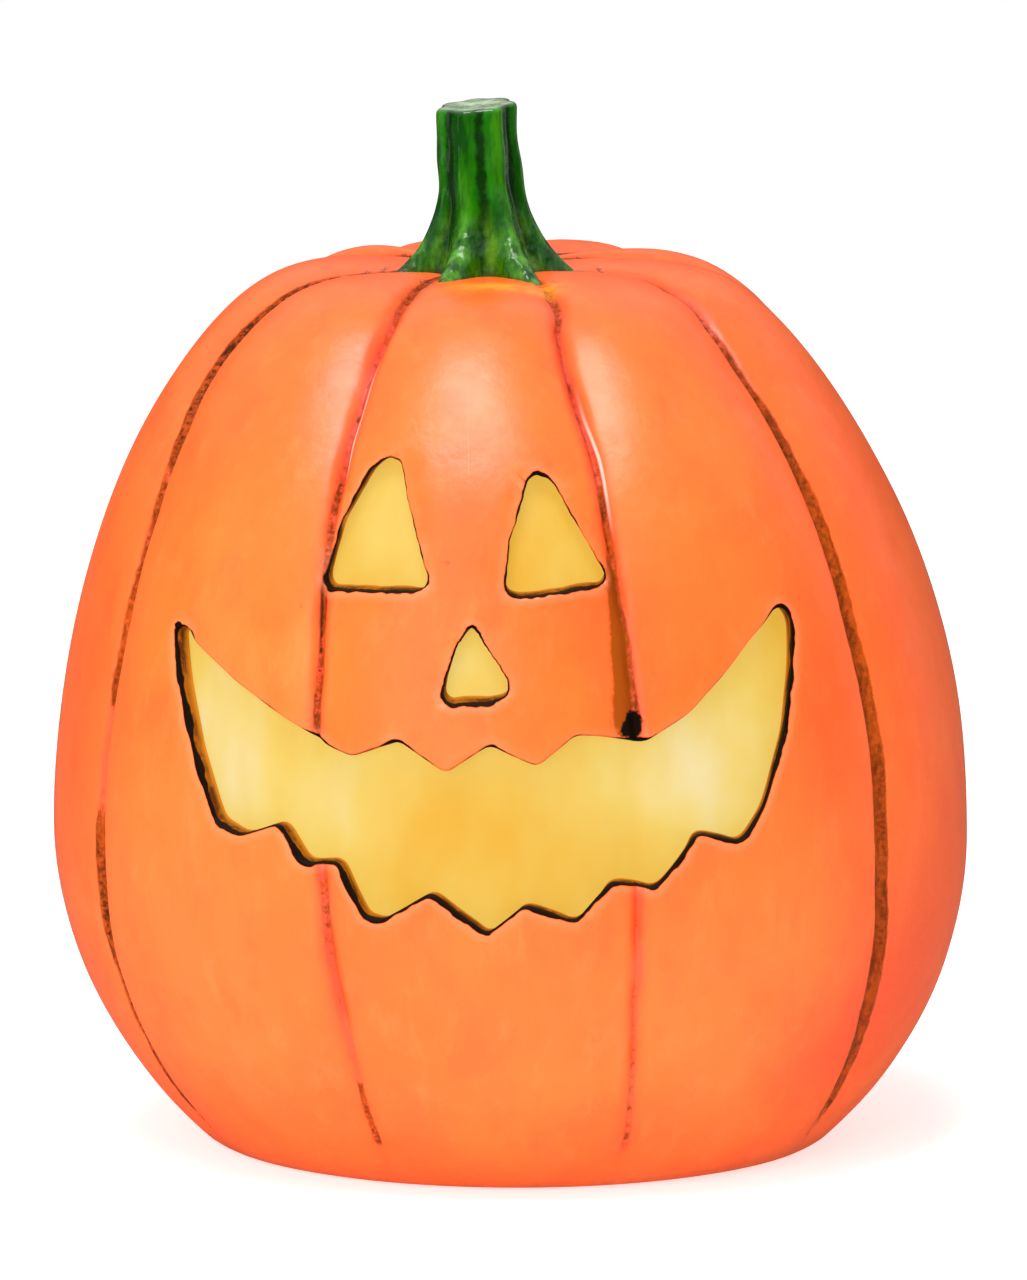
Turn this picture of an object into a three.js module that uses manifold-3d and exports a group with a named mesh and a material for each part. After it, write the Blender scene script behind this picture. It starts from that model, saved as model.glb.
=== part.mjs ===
// Ceramic jack-o'-lantern pumpkin with a battery light in its base. Millimetres, +Z up,
// the face looks along -Y, and the origin is on the ground under the middle of the foot.
import * as THREE from 'three';
import { ParametricGeometry } from 'three/addons/geometries/ParametricGeometry.js';
import { mergeVertices } from 'three/addons/utils/BufferGeometryUtils.js';
import Module from 'manifold-3d';

const wasm = await Module();
wasm.setup();

// ---- Driving dimensions ----

const RIB_COUNT = 9;
const CROWN_RADIUS = 93.5;          // widest radius, on the crown of a rib
const WAIST_HEIGHT = 65;            // height of the widest point
const LOWER_HALF_HEIGHT = 87;       // semi-axis of the body's lower half
const UPPER_HALF_HEIGHT = 131;      // semi-axis of the upper half, before the top flattens
const CREST_HEIGHT = 179.5;         // level that the flattened top settles at
const CREST_SOFTNESS = 4;
const DIMPLE_DEPTH = 1.6;
const DIMPLE_RADIUS = 20;
const CREST_TILT = 2 / 34;          // the back of the crest stands higher than the front
const CREASE_DEPTH = { foot: 1.0, waist: 2.2, shoulder: 4.2 };
const CREASE_POWER = 2.4;
const GROOVE_DEPTH = 1.2;           // the carved line at the bottom of each crease
const GROOVE_WIDTH = 0.09;          // as a share of half a rib
const FOOT_OUTLINE = [[0, 0], [55, 0], [60, 0.3], [63, 1.1]];

const WALL = 3.2;                   // ceramic wall
const FLOOR_HEIGHT = 9.4;           // inside floor of the shell
const FLOOR_RADIUS = 61;
const SHELF_HEIGHT = 5.6;           // underside of the shelf that the base is bonded to
const SHELF_INNER_RADIUS = 40;
const REBATE_RADIUS = 47;

const STEM_FOOT_X = -5.9;
const STEM_TOP_X = -7.5;
const STEM_TOP_HEIGHT = 211.9;
const STEM_RIDGES = 7;
const STEM_RIDGE_PHASE = -18;       // degrees from the front to the first ridge
const PEG_RADIUS = 5;
const PEG_CLEARANCE = 0.5;
const STEM_GAP = 0.3;               // glue line between the stem's roots and the body

const LINER_GAP = 0.3;
const LINER_THICKNESS = 1.2;
const LINER_FRAME = { halfWidth: 64, low: 48.5, high: 155.5, corner: 16 };

const PLATE_RADIUS = 46.4;
const PLATE_BOTTOM = 2.0;
const FLANGE_TOP = 5.0;
const SPIGOT_RADIUS = 39.2;
const SPIGOT_WALL = 2;
const SPIGOT_TOP = 10;
const PLATE_INNER_TOP = 6.2;
const ADHESIVE = { inner: 41, outer: 46, gap: 0.05 };

const CELL = { radius: 5.2, can: 43.5, nubRadius: 1.9, nub: 1.0, pitch: 11, height: 9.7 };
const BAY = { halfWidth: 17.6, back: -25.4, front: 24.6, roof: 15.8 };
const BAY_WALL = 1.4;
const CONTACT_THICKNESS = 0.5;
const CONTACT_GAP = 0.1;
const SPRING = { length: 4, turns: 3.5, baseRadius: 3.4, tipRadius: 1.9, wire: 0.35 };
const CONTACT = { halfWidth: 3.6, below: 4.2, above: 4.6, tabHalfWidth: 1.4, tabTop: 20 };
const TAB_SLOT = { halfWidth: 1.8, depth: 0.9 };

const DOOR = { halfWidth: 18.7, near: 28.9, far: -28.5, corner: 2, thickness: 1.8, gap: 0.3 };
const DOOR_BOTTOM = 2.2;
const DOOR_TAB = { radius: 6, centre: -31.7 };
const GRIP = { halfWidth: 7, y: 14, width: 1.2, pitch: 3, depth: 0.5 };
const HINGE = { y: 29.5, z: 3.6, barrel: 1.4, halfLength: 17.5, pin: 0.8, pinReach: 20.3 };
const HINGE_HOLE_RADIUS = 0.88;
const HINGE_POCKET = { behind: 1.8, ahead: 1.6, above: 1.8 };
const DOOR_SCREW = { y: -32, head: 2.4, headDepth: 1.0, shank: 1.0, top: 9 };
const SCREW_BOSS = { radius: 3.4, top: 13, hole: 1.45 };

const SWITCH = { x: 28, width: 3.7, length: 8.5, height: 3.5, travel: 3 };
const SWITCH_TRACK = { halfWidth: 1, halfLength: 2.7, depth: 1.4 };
const SLIDER = { knobHalfWidth: 1.1, knobHalfLength: 1.5, stemHalfWidth: 0.8, stemHalfLength: 1 };
const SLIDER_SLOT = { halfWidth: 1.4, halfLength: 3.6 };
const FINGER_DISH = { halfWidth: 4, halfLength: 7, depth: 1.4 };
const BOARD = { radius: 14, thickness: 1.6, bottom: 20.05, screwX: 10, hole: 1.25 };
const BOARD_POST = { radius: 2.2, hole: 1.15, gap: 0.05 };
const BOARD_SCREW = { head: 2, headDepth: 1.2, shank: 1.05, length: 4.4 };
const LED = { radius: 2.5, flange: 2.9, flangeDepth: 1, length: 8.6, ring: 6, count: 3 };
const RESISTOR = { radius: 0.9, halfLength: 1.7, height: 1.2, lead: 0.28, y: -9.5 };
const DOME = { radius: 17, wall: 1.2, shoulder: 26, top: 40 };
const DOME_NOTCH = { halfWidth: 1.6, above: 2.4, degrees: [-62, -25] };
const MOUNTED_GAP = 0.05;           // between a piece and the face that it is fixed to
const WIRE_RADIUS = 0.7;

// Cut-outs on the outer face: each point is degrees round from the front, then height.
const LEFT_EYE = [
  [-20.8, 135.2], [-22.1, 124.4], [-20.8, 122.5], [-7.4, 123.3], [-6.3, 125.3],
  [-11.8, 147.3], [-14.5, 148.0], [-17.3, 144.9],
];
const RIGHT_EYE = [
  [5.0, 132.9], [4.1, 123.6], [6.1, 122.1], [17.8, 124.3], [18.3, 126.6],
  [11.9, 143.9], [9.3, 145.3], [8.1, 144.0],
];
const NOSE = [
  [-2.6, 112.2], [-4.3, 103.6], [-3.5, 101.7], [1.9, 102.2], [4.0, 103.7],
  [4.2, 106.6], [1.3, 113.2], [-0.5, 117.2],
];
const MOUTH_UPPER_LIP = [
  [-44.0, 112.5], [-41.7, 110.5], [-32.2, 103.1], [-24.5, 96.8], [-19.3, 92.6], [-15.7, 90.8],
  [-9.7, 94.6], [-3.7, 88.6], [1.8, 94.1], [7.6, 89.9], [12.4, 95.8], [15.6, 95.3],
  [21.6, 93.8], [27.5, 99.3], [37.3, 112.3], [42.3, 117.8], [44.0, 117.8], [44.9, 115.2],
];
const MOUTH_LOWER_LIP = [
  [44.2, 111.4], [40.7, 94.4], [36.4, 79.4], [33.5, 73.6], [27.6, 75.8], [22.3, 65.3],
  [16.7, 66.9], [12.1, 59.3], [5.9, 62.9], [1.4, 56.9], [-5.4, 65.1], [-11.7, 59.0],
  [-13.9, 59.4], [-17.4, 70.1], [-21.9, 69.5], [-25.4, 77.0], [-30.9, 73.9], [-33.7, 76.5],
  [-37.9, 89.6], [-42.2, 106.6],
];
const MOUTH = [...MOUTH_UPPER_LIP, ...MOUTH_LOWER_LIP];
const CUTTER_RADII = { inner: 60, outer: 150 };

// ---- Materials ----

const finish = (color, roughness, metalness = 0) =>
  new THREE.MeshStandardMaterial({ color, roughness, metalness });

const MATERIALS = {
  orangeCeramic: finish(0xff7d3a, 0.5),
  greenGlaze: finish(0x1f7a12, 0.18),
  yellowPanel: finish(0xf6cc62, 0.55),
  basePlastic: finish(0x24211f, 0.55),
  doorPlastic: finish(0x2a2725, 0.5),
  adhesive: finish(0xd8d4cc, 0.8),
  nickel: finish(0xc9c7c0, 0.3, 1),
  steel: finish(0x9a9a9a, 0.35, 1),
  cellJacket: finish(0x2c5d8f, 0.35, 0.3),
  switchBody: finish(0x8d9095, 0.4, 0.7),
  sliderPlastic: finish(0x15130f, 0.5),
  circuitBoard: finish(0x1c6b3a, 0.45),
  ledLens: finish(0xffe9b0, 0.15),
  resistorBody: finish(0xd9c29a, 0.6),
  diffuser: finish(0xf4f1e8, 0.6),
  redWire: finish(0xb3261e, 0.5),
  blackWire: finish(0x1a1a1a, 0.5),
};

// ---- Helpers ----

const radians = THREE.MathUtils.degToRad;

// The part keeps only positions, welded, without the slivers that poles leave behind.
function weld(geometry) {
  const bare = geometry.clone();
  bare.deleteAttribute('normal');
  bare.deleteAttribute('uv');
  const merged = mergeVertices(bare, 1e-4);
  const index = merged.index.array;
  const kept = [];
  for (let i = 0; i < index.length; i += 3) {
    const [a, b, c] = [index[i], index[i + 1], index[i + 2]];
    if (a !== b && b !== c && c !== a) kept.push(a, b, c);
  }
  merged.setIndex(kept);
  return merged;
}

function toSolid(geometry) {
  const welded = weld(geometry);
  return new wasm.Manifold(new wasm.Mesh({
    numProp: 3,
    vertProperties: new Float32Array(welded.attributes.position.array),
    triVerts: new Uint32Array(welded.index.array),
  }));
}

function toGeometry(solid) {
  const mesh = solid.getMesh();
  const geometry = new THREE.BufferGeometry();
  geometry.setAttribute('position', new THREE.BufferAttribute(mesh.vertProperties, 3));
  geometry.setIndex(new THREE.BufferAttribute(mesh.triVerts, 1));
  geometry.computeVertexNormals();
  return geometry;
}

// start + added - removed, each a three.js geometry
function carve(start, { add = [], remove = [] }) {
  let solid = toSolid(start);
  for (const piece of add) solid = solid.add(toSolid(piece));
  for (const piece of remove) solid = solid.subtract(toSolid(piece));
  return toGeometry(solid);
}

// An upright solid of revolution from [radius, height] points, first and last on the axis
// unless the outline closes on itself.
function turned(outline, segments = 32) {
  const points = outline.map(([radius, height]) => new THREE.Vector2(radius, height));
  return new THREE.LatheGeometry(points, segments).rotateX(Math.PI / 2);
}

const disc = (radius, low, high, segments = 32) =>
  turned([[0, low], [radius, low], [radius, high], [0, high]], segments);

const ring = (inner, outer, low, high, segments = 32) =>
  turned([[inner, low], [outer, low], [outer, high], [inner, high], [inner, low]], segments);

function block(low, high) {
  const size = high.map((value, axis) => value - low[axis]);
  const centre = high.map((value, axis) => (value + low[axis]) / 2);
  return new THREE.BoxGeometry(...size).translate(...centre);
}

function prism(shape, low, high) {
  const settings = { depth: high - low, bevelEnabled: false, curveSegments: 8 };
  return new THREE.ExtrudeGeometry(shape, settings).translate(0, 0, low);
}

// A rod along X
const crossRod = (radius, from, to, y, z, segments = 16) =>
  disc(radius, from, to, segments).rotateY(Math.PI / 2).translate(0, y, z);

// A round-section wire through points
function wireThrough(points, radius, sides, steps) {
  const section = new THREE.Shape();
  for (let i = 0; i < sides; i += 1) {
    const angle = (2 * Math.PI * i) / sides;
    const corner = [radius * Math.cos(angle), radius * Math.sin(angle)];
    if (i === 0) section.moveTo(...corner);
    else section.lineTo(...corner);
  }
  const path = new THREE.CatmullRomCurve3(points.map((point) => new THREE.Vector3(...point)));
  return new THREE.ExtrudeGeometry(section, { steps, extrudePath: path, bevelEnabled: false });
}

const model = new THREE.Group();

function place(name, geometry, material, parent = model) {
  const mesh = new THREE.Mesh(geometry, material);
  mesh.name = name;
  parent.add(mesh);
  return mesh;
}

// ---- The pumpkin's surface ----

const ease = THREE.MathUtils.smoothstep;

// Radius and height of a rib crown at a latitude
function crownProfile(latitude) {
  const halfHeight = latitude < 0 ? LOWER_HALF_HEIGHT : UPPER_HALF_HEIGHT;
  const radius = CROWN_RADIUS * Math.cos(latitude);
  const free = WAIST_HEIGHT + halfHeight * Math.sin(latitude);
  const overshoot = Math.exp((free - CREST_HEIGHT) / CREST_SOFTNESS);
  const flattened = free - CREST_SOFTNESS * Math.log1p(overshoot);
  const dimple = DIMPLE_DEPTH * Math.exp(-((radius / DIMPLE_RADIUS) ** 2));
  return { radius, height: flattened - dimple };
}

function crownNormal(latitude) {
  const step = 1e-4;
  const above = crownProfile(latitude + step);
  const below = crownProfile(latitude - step);
  const run = above.radius - below.radius;
  const rise = above.height - below.height;
  const length = Math.hypot(run, rise);
  return { radial: rise / length, upward: -run / length };
}

// How far the surface lies under the crown's, between ribs
function creaseDepth(degrees, radius, height, grooved) {
  const turn = (degrees * RIB_COUNT) / 360 + 0.5;
  const acrossRib = turn - Math.floor(turn);
  const towardsCrease = Math.abs(2 * acrossRib - 1);
  const { foot, waist, shoulder } = CREASE_DEPTH;
  const lower = (waist - foot) * ease(height, 8, 78);
  const upper = (shoulder - waist) * ease(height, 108, 170);
  const full = foot + lower + upper;
  const groove = grooved
    ? GROOVE_DEPTH * Math.exp(-(((1 - towardsCrease) / GROOVE_WIDTH) ** 2)) * ease(height, 5, 60)
    : 0;
  const fade = ease(radius, 6, 58) * ease(height, 0, 8);
  return (full * towardsCrease ** CREASE_POWER + groove) * fade;
}

// The body's own axis wanders a little sideways on its way up
const axisX = (height) => 1.2 * (1 - ease(height, 0, 72)) - 2.2 * ease(height, 88, 178) - 0.45;

function around(degrees, radius, height, target) {
  const angle = radians(degrees);
  return target.set(axisX(height) + radius * Math.sin(angle), -radius * Math.cos(angle), height);
}

function bodyPoint(degrees, latitude, inset, grooved, target) {
  const crown = crownProfile(latitude);
  const normal = crownNormal(latitude);
  const depth = inset + creaseDepth(degrees, crown.radius, crown.height, grooved);
  const radius = Math.max(0, crown.radius - depth * normal.radial);
  const height = crown.height - depth * normal.upward;
  around(degrees, radius, height, target);
  target.z += CREST_TILT * target.y * ease(height, 138, 178);
  return target;
}

// A closed solid from rows of points, each row one turn about the axis
function rowSolid(rows, columns) {
  const last = rows.length - 1;
  const surface = (u, v, target) => {
    const column = Math.round(u * columns.length) % columns.length;
    rows[Math.round(v * last)](columns[column], target);
  };
  return new ParametricGeometry(surface, columns.length, last);
}

const latitudesBetween = (from, to, count) =>
  Array.from({ length: count }, (_, i) => radians(from + ((to - from) * i) / (count - 1)));

function columnsPerRib(offsets) {
  const columns = [];
  for (let rib = 0; rib < RIB_COUNT; rib += 1) {
    for (const offset of offsets) columns.push((rib * 360) / RIB_COUNT + offset);
  }
  return columns;
}

const OUTER_COLUMNS = columnsPerRib([-20, -17.5, -9, 0, 9, 17.5]);
const INNER_COLUMNS = columnsPerRib([-20, -10, 0, 10]);
const OUTER_LATITUDES = [...latitudesBetween(-46.5, 42.5, 13), ...latitudesBetween(49, 90, 9)];
const INNER_LATITUDES = [...latitudesBetween(-36, 44, 9), ...latitudesBetween(53, 90, 5)];

// The body filled solid; lift moves its face outwards
function filledBody(lift = 0) {
  const foot = FOOT_OUTLINE.map(([radius, height]) =>
    (degrees, target) => around(degrees, radius, height, target));
  const upper = OUTER_LATITUDES.map((latitude) =>
    (degrees, target) => bodyPoint(degrees, latitude, -lift, true, target));
  return rowSolid([...foot, ...upper], OUTER_COLUMNS);
}

// The space inside the body, a given distance under its face
function insideBody(inset) {
  const floor = [0, FLOOR_RADIUS].map((radius) =>
    (degrees, target) => around(degrees, radius, FLOOR_HEIGHT, target));
  const upper = INNER_LATITUDES.map((latitude) =>
    (degrees, target) => bodyPoint(degrees, latitude, inset, false, target));
  return rowSolid([...floor, ...upper], INNER_COLUMNS);
}

// A cutter with radial walls, from an outline of [degrees, height]
function faceCutter(outline) {
  const shape = new THREE.Shape(outline.map(([degrees, height]) => new THREE.Vector2(degrees, height)));
  const depth = CUTTER_RADII.outer - CUTTER_RADII.inner;
  const geometry = new THREE.ExtrudeGeometry(shape, { depth, steps: 3, bevelEnabled: false });
  const position = geometry.attributes.position;
  const target = new THREE.Vector3();
  for (let i = 0; i < position.count; i += 1) {
    around(position.getX(i), CUTTER_RADII.inner + position.getZ(i), position.getY(i), target);
    position.setXYZ(i, target.x, target.y, target.z);
  }
  return geometry;
}

// ---- Ceramic body, stem and glowing panel ----

function pumpkinShell() {
  return carve(filledBody(), {
    remove: [
      insideBody(WALL),
      disc(SHELF_INNER_RADIUS, -1, FLOOR_HEIGHT + 1, 48),
      disc(REBATE_RADIUS, -1, SHELF_HEIGHT, 48),
      disc(PEG_RADIUS + PEG_CLEARANCE, 160, 190, 24).translate(STEM_FOOT_X, 0, 0),
      faceCutter(LEFT_EYE),
      faceCutter(RIGHT_EYE),
      faceCutter(NOSE),
      faceCutter(MOUTH),
    ],
  });
}

// Stem rows from the root to the cut top: height, core radius, how far ridges stand out
const STEM_ROWS = [
  [172.5, 13.0, 9.0], [176.5, 12.4, 7.4], [180, 11.2, 5.0], [183.5, 10.0, 3.2], [187.5, 8.9, 2.0],
  [193.5, 7.9, 1.3], [201.5, 7.4, 1.1], [209.1, 7.3, 1.0], [210.9, 6.7, 0.8],
];

function stemPoint(degrees, [height, core, ridge], target) {
  const wave = Math.cos(radians((degrees - STEM_RIDGE_PHASE) * STEM_RIDGES));
  const radius = core + (ridge * (1 + wave)) / 2;
  const angle = radians(degrees);
  const share = ease(height, 180, 210);
  const centre = STEM_FOOT_X + (STEM_TOP_X - STEM_FOOT_X) * share;
  const tilt = 0.08 * ease(height, 202, 211);
  const x = radius * Math.sin(angle);
  const y = -radius * Math.cos(angle);
  return target.set(centre + x, y, height + tilt * (x + y));
}

function stemWithPeg() {
  const perRidge = 4;
  const count = STEM_RIDGES * perRidge;
  const columns = Array.from({ length: count }, (_, i) => STEM_RIDGE_PHASE + (360 * i) / count);
  const capAt = (height, x) => (degrees, target) => target.set(x, 0, height);
  const sides = STEM_ROWS.map((row) => (degrees, target) => stemPoint(degrees, row, target));
  const rows = [capAt(STEM_ROWS[0][0], STEM_FOOT_X), ...sides, capAt(STEM_TOP_HEIGHT, STEM_TOP_X)];
  const standing = carve(rowSolid(rows, columns), { remove: [filledBody(STEM_GAP)] });
  const peg = disc(PEG_RADIUS, 168, 184, 24).translate(STEM_FOOT_X, 0, 0);
  return carve(standing, { add: [peg] });
}

function faceLiner() {
  const { halfWidth, low, high, corner } = LINER_FRAME;
  const frame = new THREE.Shape();
  frame.moveTo(-halfWidth + corner, low);
  frame.lineTo(halfWidth - corner, low);
  frame.lineTo(halfWidth, low + corner);
  frame.lineTo(halfWidth, high - 2 * corner);
  frame.lineTo(halfWidth - 2 * corner, high);
  frame.lineTo(-halfWidth + 2 * corner, high);
  frame.lineTo(-halfWidth, high - 2 * corner);
  frame.lineTo(-halfWidth, low + corner);
  frame.closePath();
  const window = prism(frame, 30, 120).rotateX(Math.PI / 2);
  const sheet = toSolid(insideBody(WALL + LINER_GAP))
    .subtract(toSolid(insideBody(WALL + LINER_GAP + LINER_THICKNESS)))
    .intersect(toSolid(window));
  return toGeometry(sheet);
}

place('pumpkin_shell', pumpkinShell(), MATERIALS.orangeCeramic);
place('stem', stemWithPeg(), MATERIALS.greenGlaze);
place('face_liner', faceLiner(), MATERIALS.yellowPanel);

// ---- Base housing ----

// The door's outline, or its opening when grown by the gap
function doorShape(grow) {
  const half = DOOR.halfWidth + grow;
  const far = DOOR.far - grow;
  const tab = DOOR_TAB.radius + grow;
  const shape = new THREE.Shape();
  shape.moveTo(half, DOOR.near);
  shape.lineTo(-half, DOOR.near);
  shape.lineTo(-half, far + DOOR.corner);
  shape.lineTo(-half + DOOR.corner, far);
  shape.lineTo(-tab, far);
  shape.absarc(0, DOOR_TAB.centre, tab, Math.PI, 2 * Math.PI);
  shape.lineTo(tab, far);
  shape.lineTo(half - DOOR.corner, far);
  shape.lineTo(half, far + DOOR.corner);
  shape.closePath();
  return shape;
}

const doorTop = DOOR_BOTTOM + DOOR.thickness;
const rebateTop = doorTop + 0.1;
const bayRoofTop = BAY.roof + BAY_WALL;
const cellX = (index) => (index - 1) * CELL.pitch;

function baseHousing() {
  const plate = turned([
    [0, PLATE_BOTTOM], [PLATE_RADIUS, PLATE_BOTTOM], [PLATE_RADIUS, FLANGE_TOP],
    [SPIGOT_RADIUS, FLANGE_TOP], [SPIGOT_RADIUS, SPIGOT_TOP], [SPIGOT_RADIUS - SPIGOT_WALL, SPIGOT_TOP],
    [SPIGOT_RADIUS - SPIGOT_WALL, PLATE_INNER_TOP], [0, PLATE_INNER_TOP],
  ], 48);
  const outerHalf = BAY.halfWidth + BAY_WALL;
  const bayBox = block(
    [-outerHalf, BAY.back - BAY_WALL, PLATE_INNER_TOP - 1],
    [outerHalf, BAY.front + BAY_WALL, bayRoofTop]);
  const boss = disc(SCREW_BOSS.radius, PLATE_INNER_TOP - 1, SCREW_BOSS.top, 24);
  const post = BOARD_POST;
  const posts = [-1, 1].map((side) =>
    disc(post.radius, bayRoofTop - 0.5, BOARD.bottom - post.gap, 20).translate(side * BOARD.screwX, 0, 0));
  const screwHoles = [-1, 1].map((side) =>
    disc(post.hole, bayRoofTop + 0.6, BOARD.bottom + 1, 16).translate(side * BOARD.screwX, 0, 0));
  const bay = block([-BAY.halfWidth, BAY.back, rebateTop - 1], [BAY.halfWidth, BAY.front, BAY.roof]);
  const hingePocket = block(
    [-DOOR.halfWidth - DOOR.gap, HINGE.y - HINGE_POCKET.ahead, PLATE_BOTTOM - 1],
    [DOOR.halfWidth + DOOR.gap, HINGE.y + HINGE_POCKET.behind, HINGE.z + HINGE_POCKET.above]);
  const hingeReach = HINGE.pinReach + 0.4;
  const hingeHoles = crossRod(HINGE_HOLE_RADIUS, -hingeReach, hingeReach, HINGE.y, HINGE.z);
  const tabSlot = (x, from, to) => block(
    [x - TAB_SLOT.halfWidth, from, BAY.roof - 1],
    [x + TAB_SLOT.halfWidth, to, bayRoofTop + 1]);
  const fingerDish = block(
    [SWITCH.x - FINGER_DISH.halfWidth, -FINGER_DISH.halfLength, PLATE_BOTTOM - 1],
    [SWITCH.x + FINGER_DISH.halfWidth, FINGER_DISH.halfLength, PLATE_BOTTOM + FINGER_DISH.depth]);
  const sliderSlot = block(
    [SWITCH.x - SLIDER_SLOT.halfWidth, -SLIDER_SLOT.halfLength, PLATE_BOTTOM],
    [SWITCH.x + SLIDER_SLOT.halfWidth, SLIDER_SLOT.halfLength, PLATE_INNER_TOP + 1]);
  return carve(plate, {
    add: [bayBox, boss.translate(0, DOOR_SCREW.y, 0), ...posts],
    remove: [
      bay,
      prism(doorShape(DOOR.gap), PLATE_BOTTOM - 1, rebateTop),
      hingePocket,
      hingeHoles,
      disc(SCREW_BOSS.hole, PLATE_BOTTOM, SCREW_BOSS.top - 1, 20).translate(0, DOOR_SCREW.y, 0),
      ...screwHoles,
      tabSlot(cellX(0), BAY.back, BAY.back + TAB_SLOT.depth),
      tabSlot(cellX(2), BAY.front - TAB_SLOT.depth, BAY.front),
      fingerDish,
      sliderSlot,
    ],
  });
}

place('base_housing', baseHousing(), MATERIALS.basePlastic);
place(
  'adhesive_ring',
  ring(ADHESIVE.inner, ADHESIVE.outer, FLANGE_TOP + ADHESIVE.gap, SHELF_HEIGHT - ADHESIVE.gap),
  MATERIALS.adhesive);

// ---- Battery door and its captive screw ----

function batteryDoor() {
  const slab = prism(doorShape(0), DOOR_BOTTOM, doorTop);
  const barrel = crossRod(HINGE.barrel, -HINGE.halfLength, HINGE.halfLength, HINGE.y, HINGE.z, 20);
  const pins = crossRod(HINGE.pin, -HINGE.pinReach, HINGE.pinReach, HINGE.y, HINGE.z);
  const seat = disc(DOOR_SCREW.head + 0.3, DOOR_BOTTOM - 1, DOOR_BOTTOM + DOOR_SCREW.headDepth + 0.1, 24);
  const hole = disc(DOOR_SCREW.shank + 0.3, DOOR_BOTTOM, doorTop + 1, 16);
  const grips = [-1, 0, 1].map((step) => {
    const y = GRIP.y + GRIP.pitch * step;
    return block(
      [-GRIP.halfWidth, y, DOOR_BOTTOM - 1],
      [GRIP.halfWidth, y + GRIP.width, DOOR_BOTTOM + GRIP.depth]);
  });
  return carve(slab, {
    add: [barrel, pins],
    remove: [seat.translate(0, DOOR_SCREW.y, 0), hole.translate(0, DOOR_SCREW.y, 0), ...grips],
  });
}

// A cross-head screw standing on its head, its head's outer face at z = 0
function screwGeometry({ head, headDepth, shank, length }) {
  const body = turned([
    [0, 0], [head - 0.3, 0], [head, 0.3], [head, headDepth], [shank, headDepth],
    [shank, length - 0.8], [0, length],
  ], 14);
  const reach = head * 0.62;
  const slot = 0.35;
  return carve(body, {
    remove: [
      block([-reach, -slot, -1], [reach, slot, headDepth * 0.55]),
      block([-slot, -reach, -1], [slot, reach, headDepth * 0.55]),
    ],
  });
}

place('battery_door', batteryDoor(), MATERIALS.doorPlastic);
const doorScrew = place('door_screw', screwGeometry({
  head: DOOR_SCREW.head,
  headDepth: DOOR_SCREW.headDepth,
  shank: DOOR_SCREW.shank,
  length: DOOR_SCREW.top - DOOR_BOTTOM,
}), MATERIALS.steel);
doorScrew.position.set(0, DOOR_SCREW.y, DOOR_BOTTOM);

// ---- Cells, springs and contacts ----

// Cells lie along Y; the middle one points the other way
const contactBack = BAY.back + CONTACT_GAP + CONTACT_THICKNESS + CONTACT_GAP;
const contactFront = BAY.front - CONTACT_GAP - CONTACT_THICKNESS - CONTACT_GAP;

function cellGeometry() {
  const { radius, can, nubRadius, nub } = CELL;
  return turned([
    [0, 0], [radius, 0], [radius, can], [nubRadius, can], [nubRadius, can + nub], [0, can + nub],
  ], 18).rotateX(Math.PI / 2);
}

// A conical spring, its wide end at y = 0 and its narrow end towards -Y
function springGeometry() {
  const { length, turns, baseRadius, tipRadius, wire } = SPRING;
  const stepsPerTurn = 8;
  const count = turns * stepsPerTurn;
  const points = Array.from({ length: count + 1 }, (_, i) => {
    const share = i / count;
    const angle = 2 * Math.PI * turns * share;
    const radius = baseRadius + (tipRadius - baseRadius) * share;
    const y = -wire - share * (length - 2 * wire);
    return [radius * Math.cos(angle), y, radius * Math.sin(angle)];
  });
  return wireThrough(points, wire, 4, count);
}

for (let index = 0; index < 3; index += 1) {
  const flipped = index === 1;
  const cell = place(`battery_${index + 1}`, cellGeometry(), MATERIALS.cellJacket);
  const spring = place(`battery_spring_${index + 1}`, springGeometry(), MATERIALS.nickel);
  // cellGeometry runs from its flat end at y = 0 to its nub at -Y
  const flatEnd = CELL.can + CELL.nub;
  cell.position.set(cellX(index), flipped ? contactFront - flatEnd : contactBack + flatEnd, CELL.height);
  spring.position.set(cellX(index), flipped ? contactBack - 0.1 : contactFront + 0.1, CELL.height);
  if (flipped) {
    cell.rotation.z = Math.PI;
    spring.rotation.z = Math.PI;
  }
}

// A flat contact against an end wall, with a solder tab through the roof if it is an end of the row
function contactGeometry(fromX, toX, tabX) {
  const low = CELL.height - CONTACT.below;
  const high = CELL.height + CONTACT.above;
  const shape = new THREE.Shape();
  shape.moveTo(fromX, low);
  shape.lineTo(toX, low);
  shape.lineTo(toX, high);
  if (tabX !== undefined) {
    shape.lineTo(tabX + CONTACT.tabHalfWidth, high);
    shape.lineTo(tabX + CONTACT.tabHalfWidth, CONTACT.tabTop);
    shape.lineTo(tabX - CONTACT.tabHalfWidth, CONTACT.tabTop);
    shape.lineTo(tabX - CONTACT.tabHalfWidth, high);
  }
  shape.lineTo(fromX, high);
  shape.closePath();
  return prism(shape, -CONTACT_THICKNESS / 2, CONTACT_THICKNESS / 2).rotateX(Math.PI / 2);
}

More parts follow.
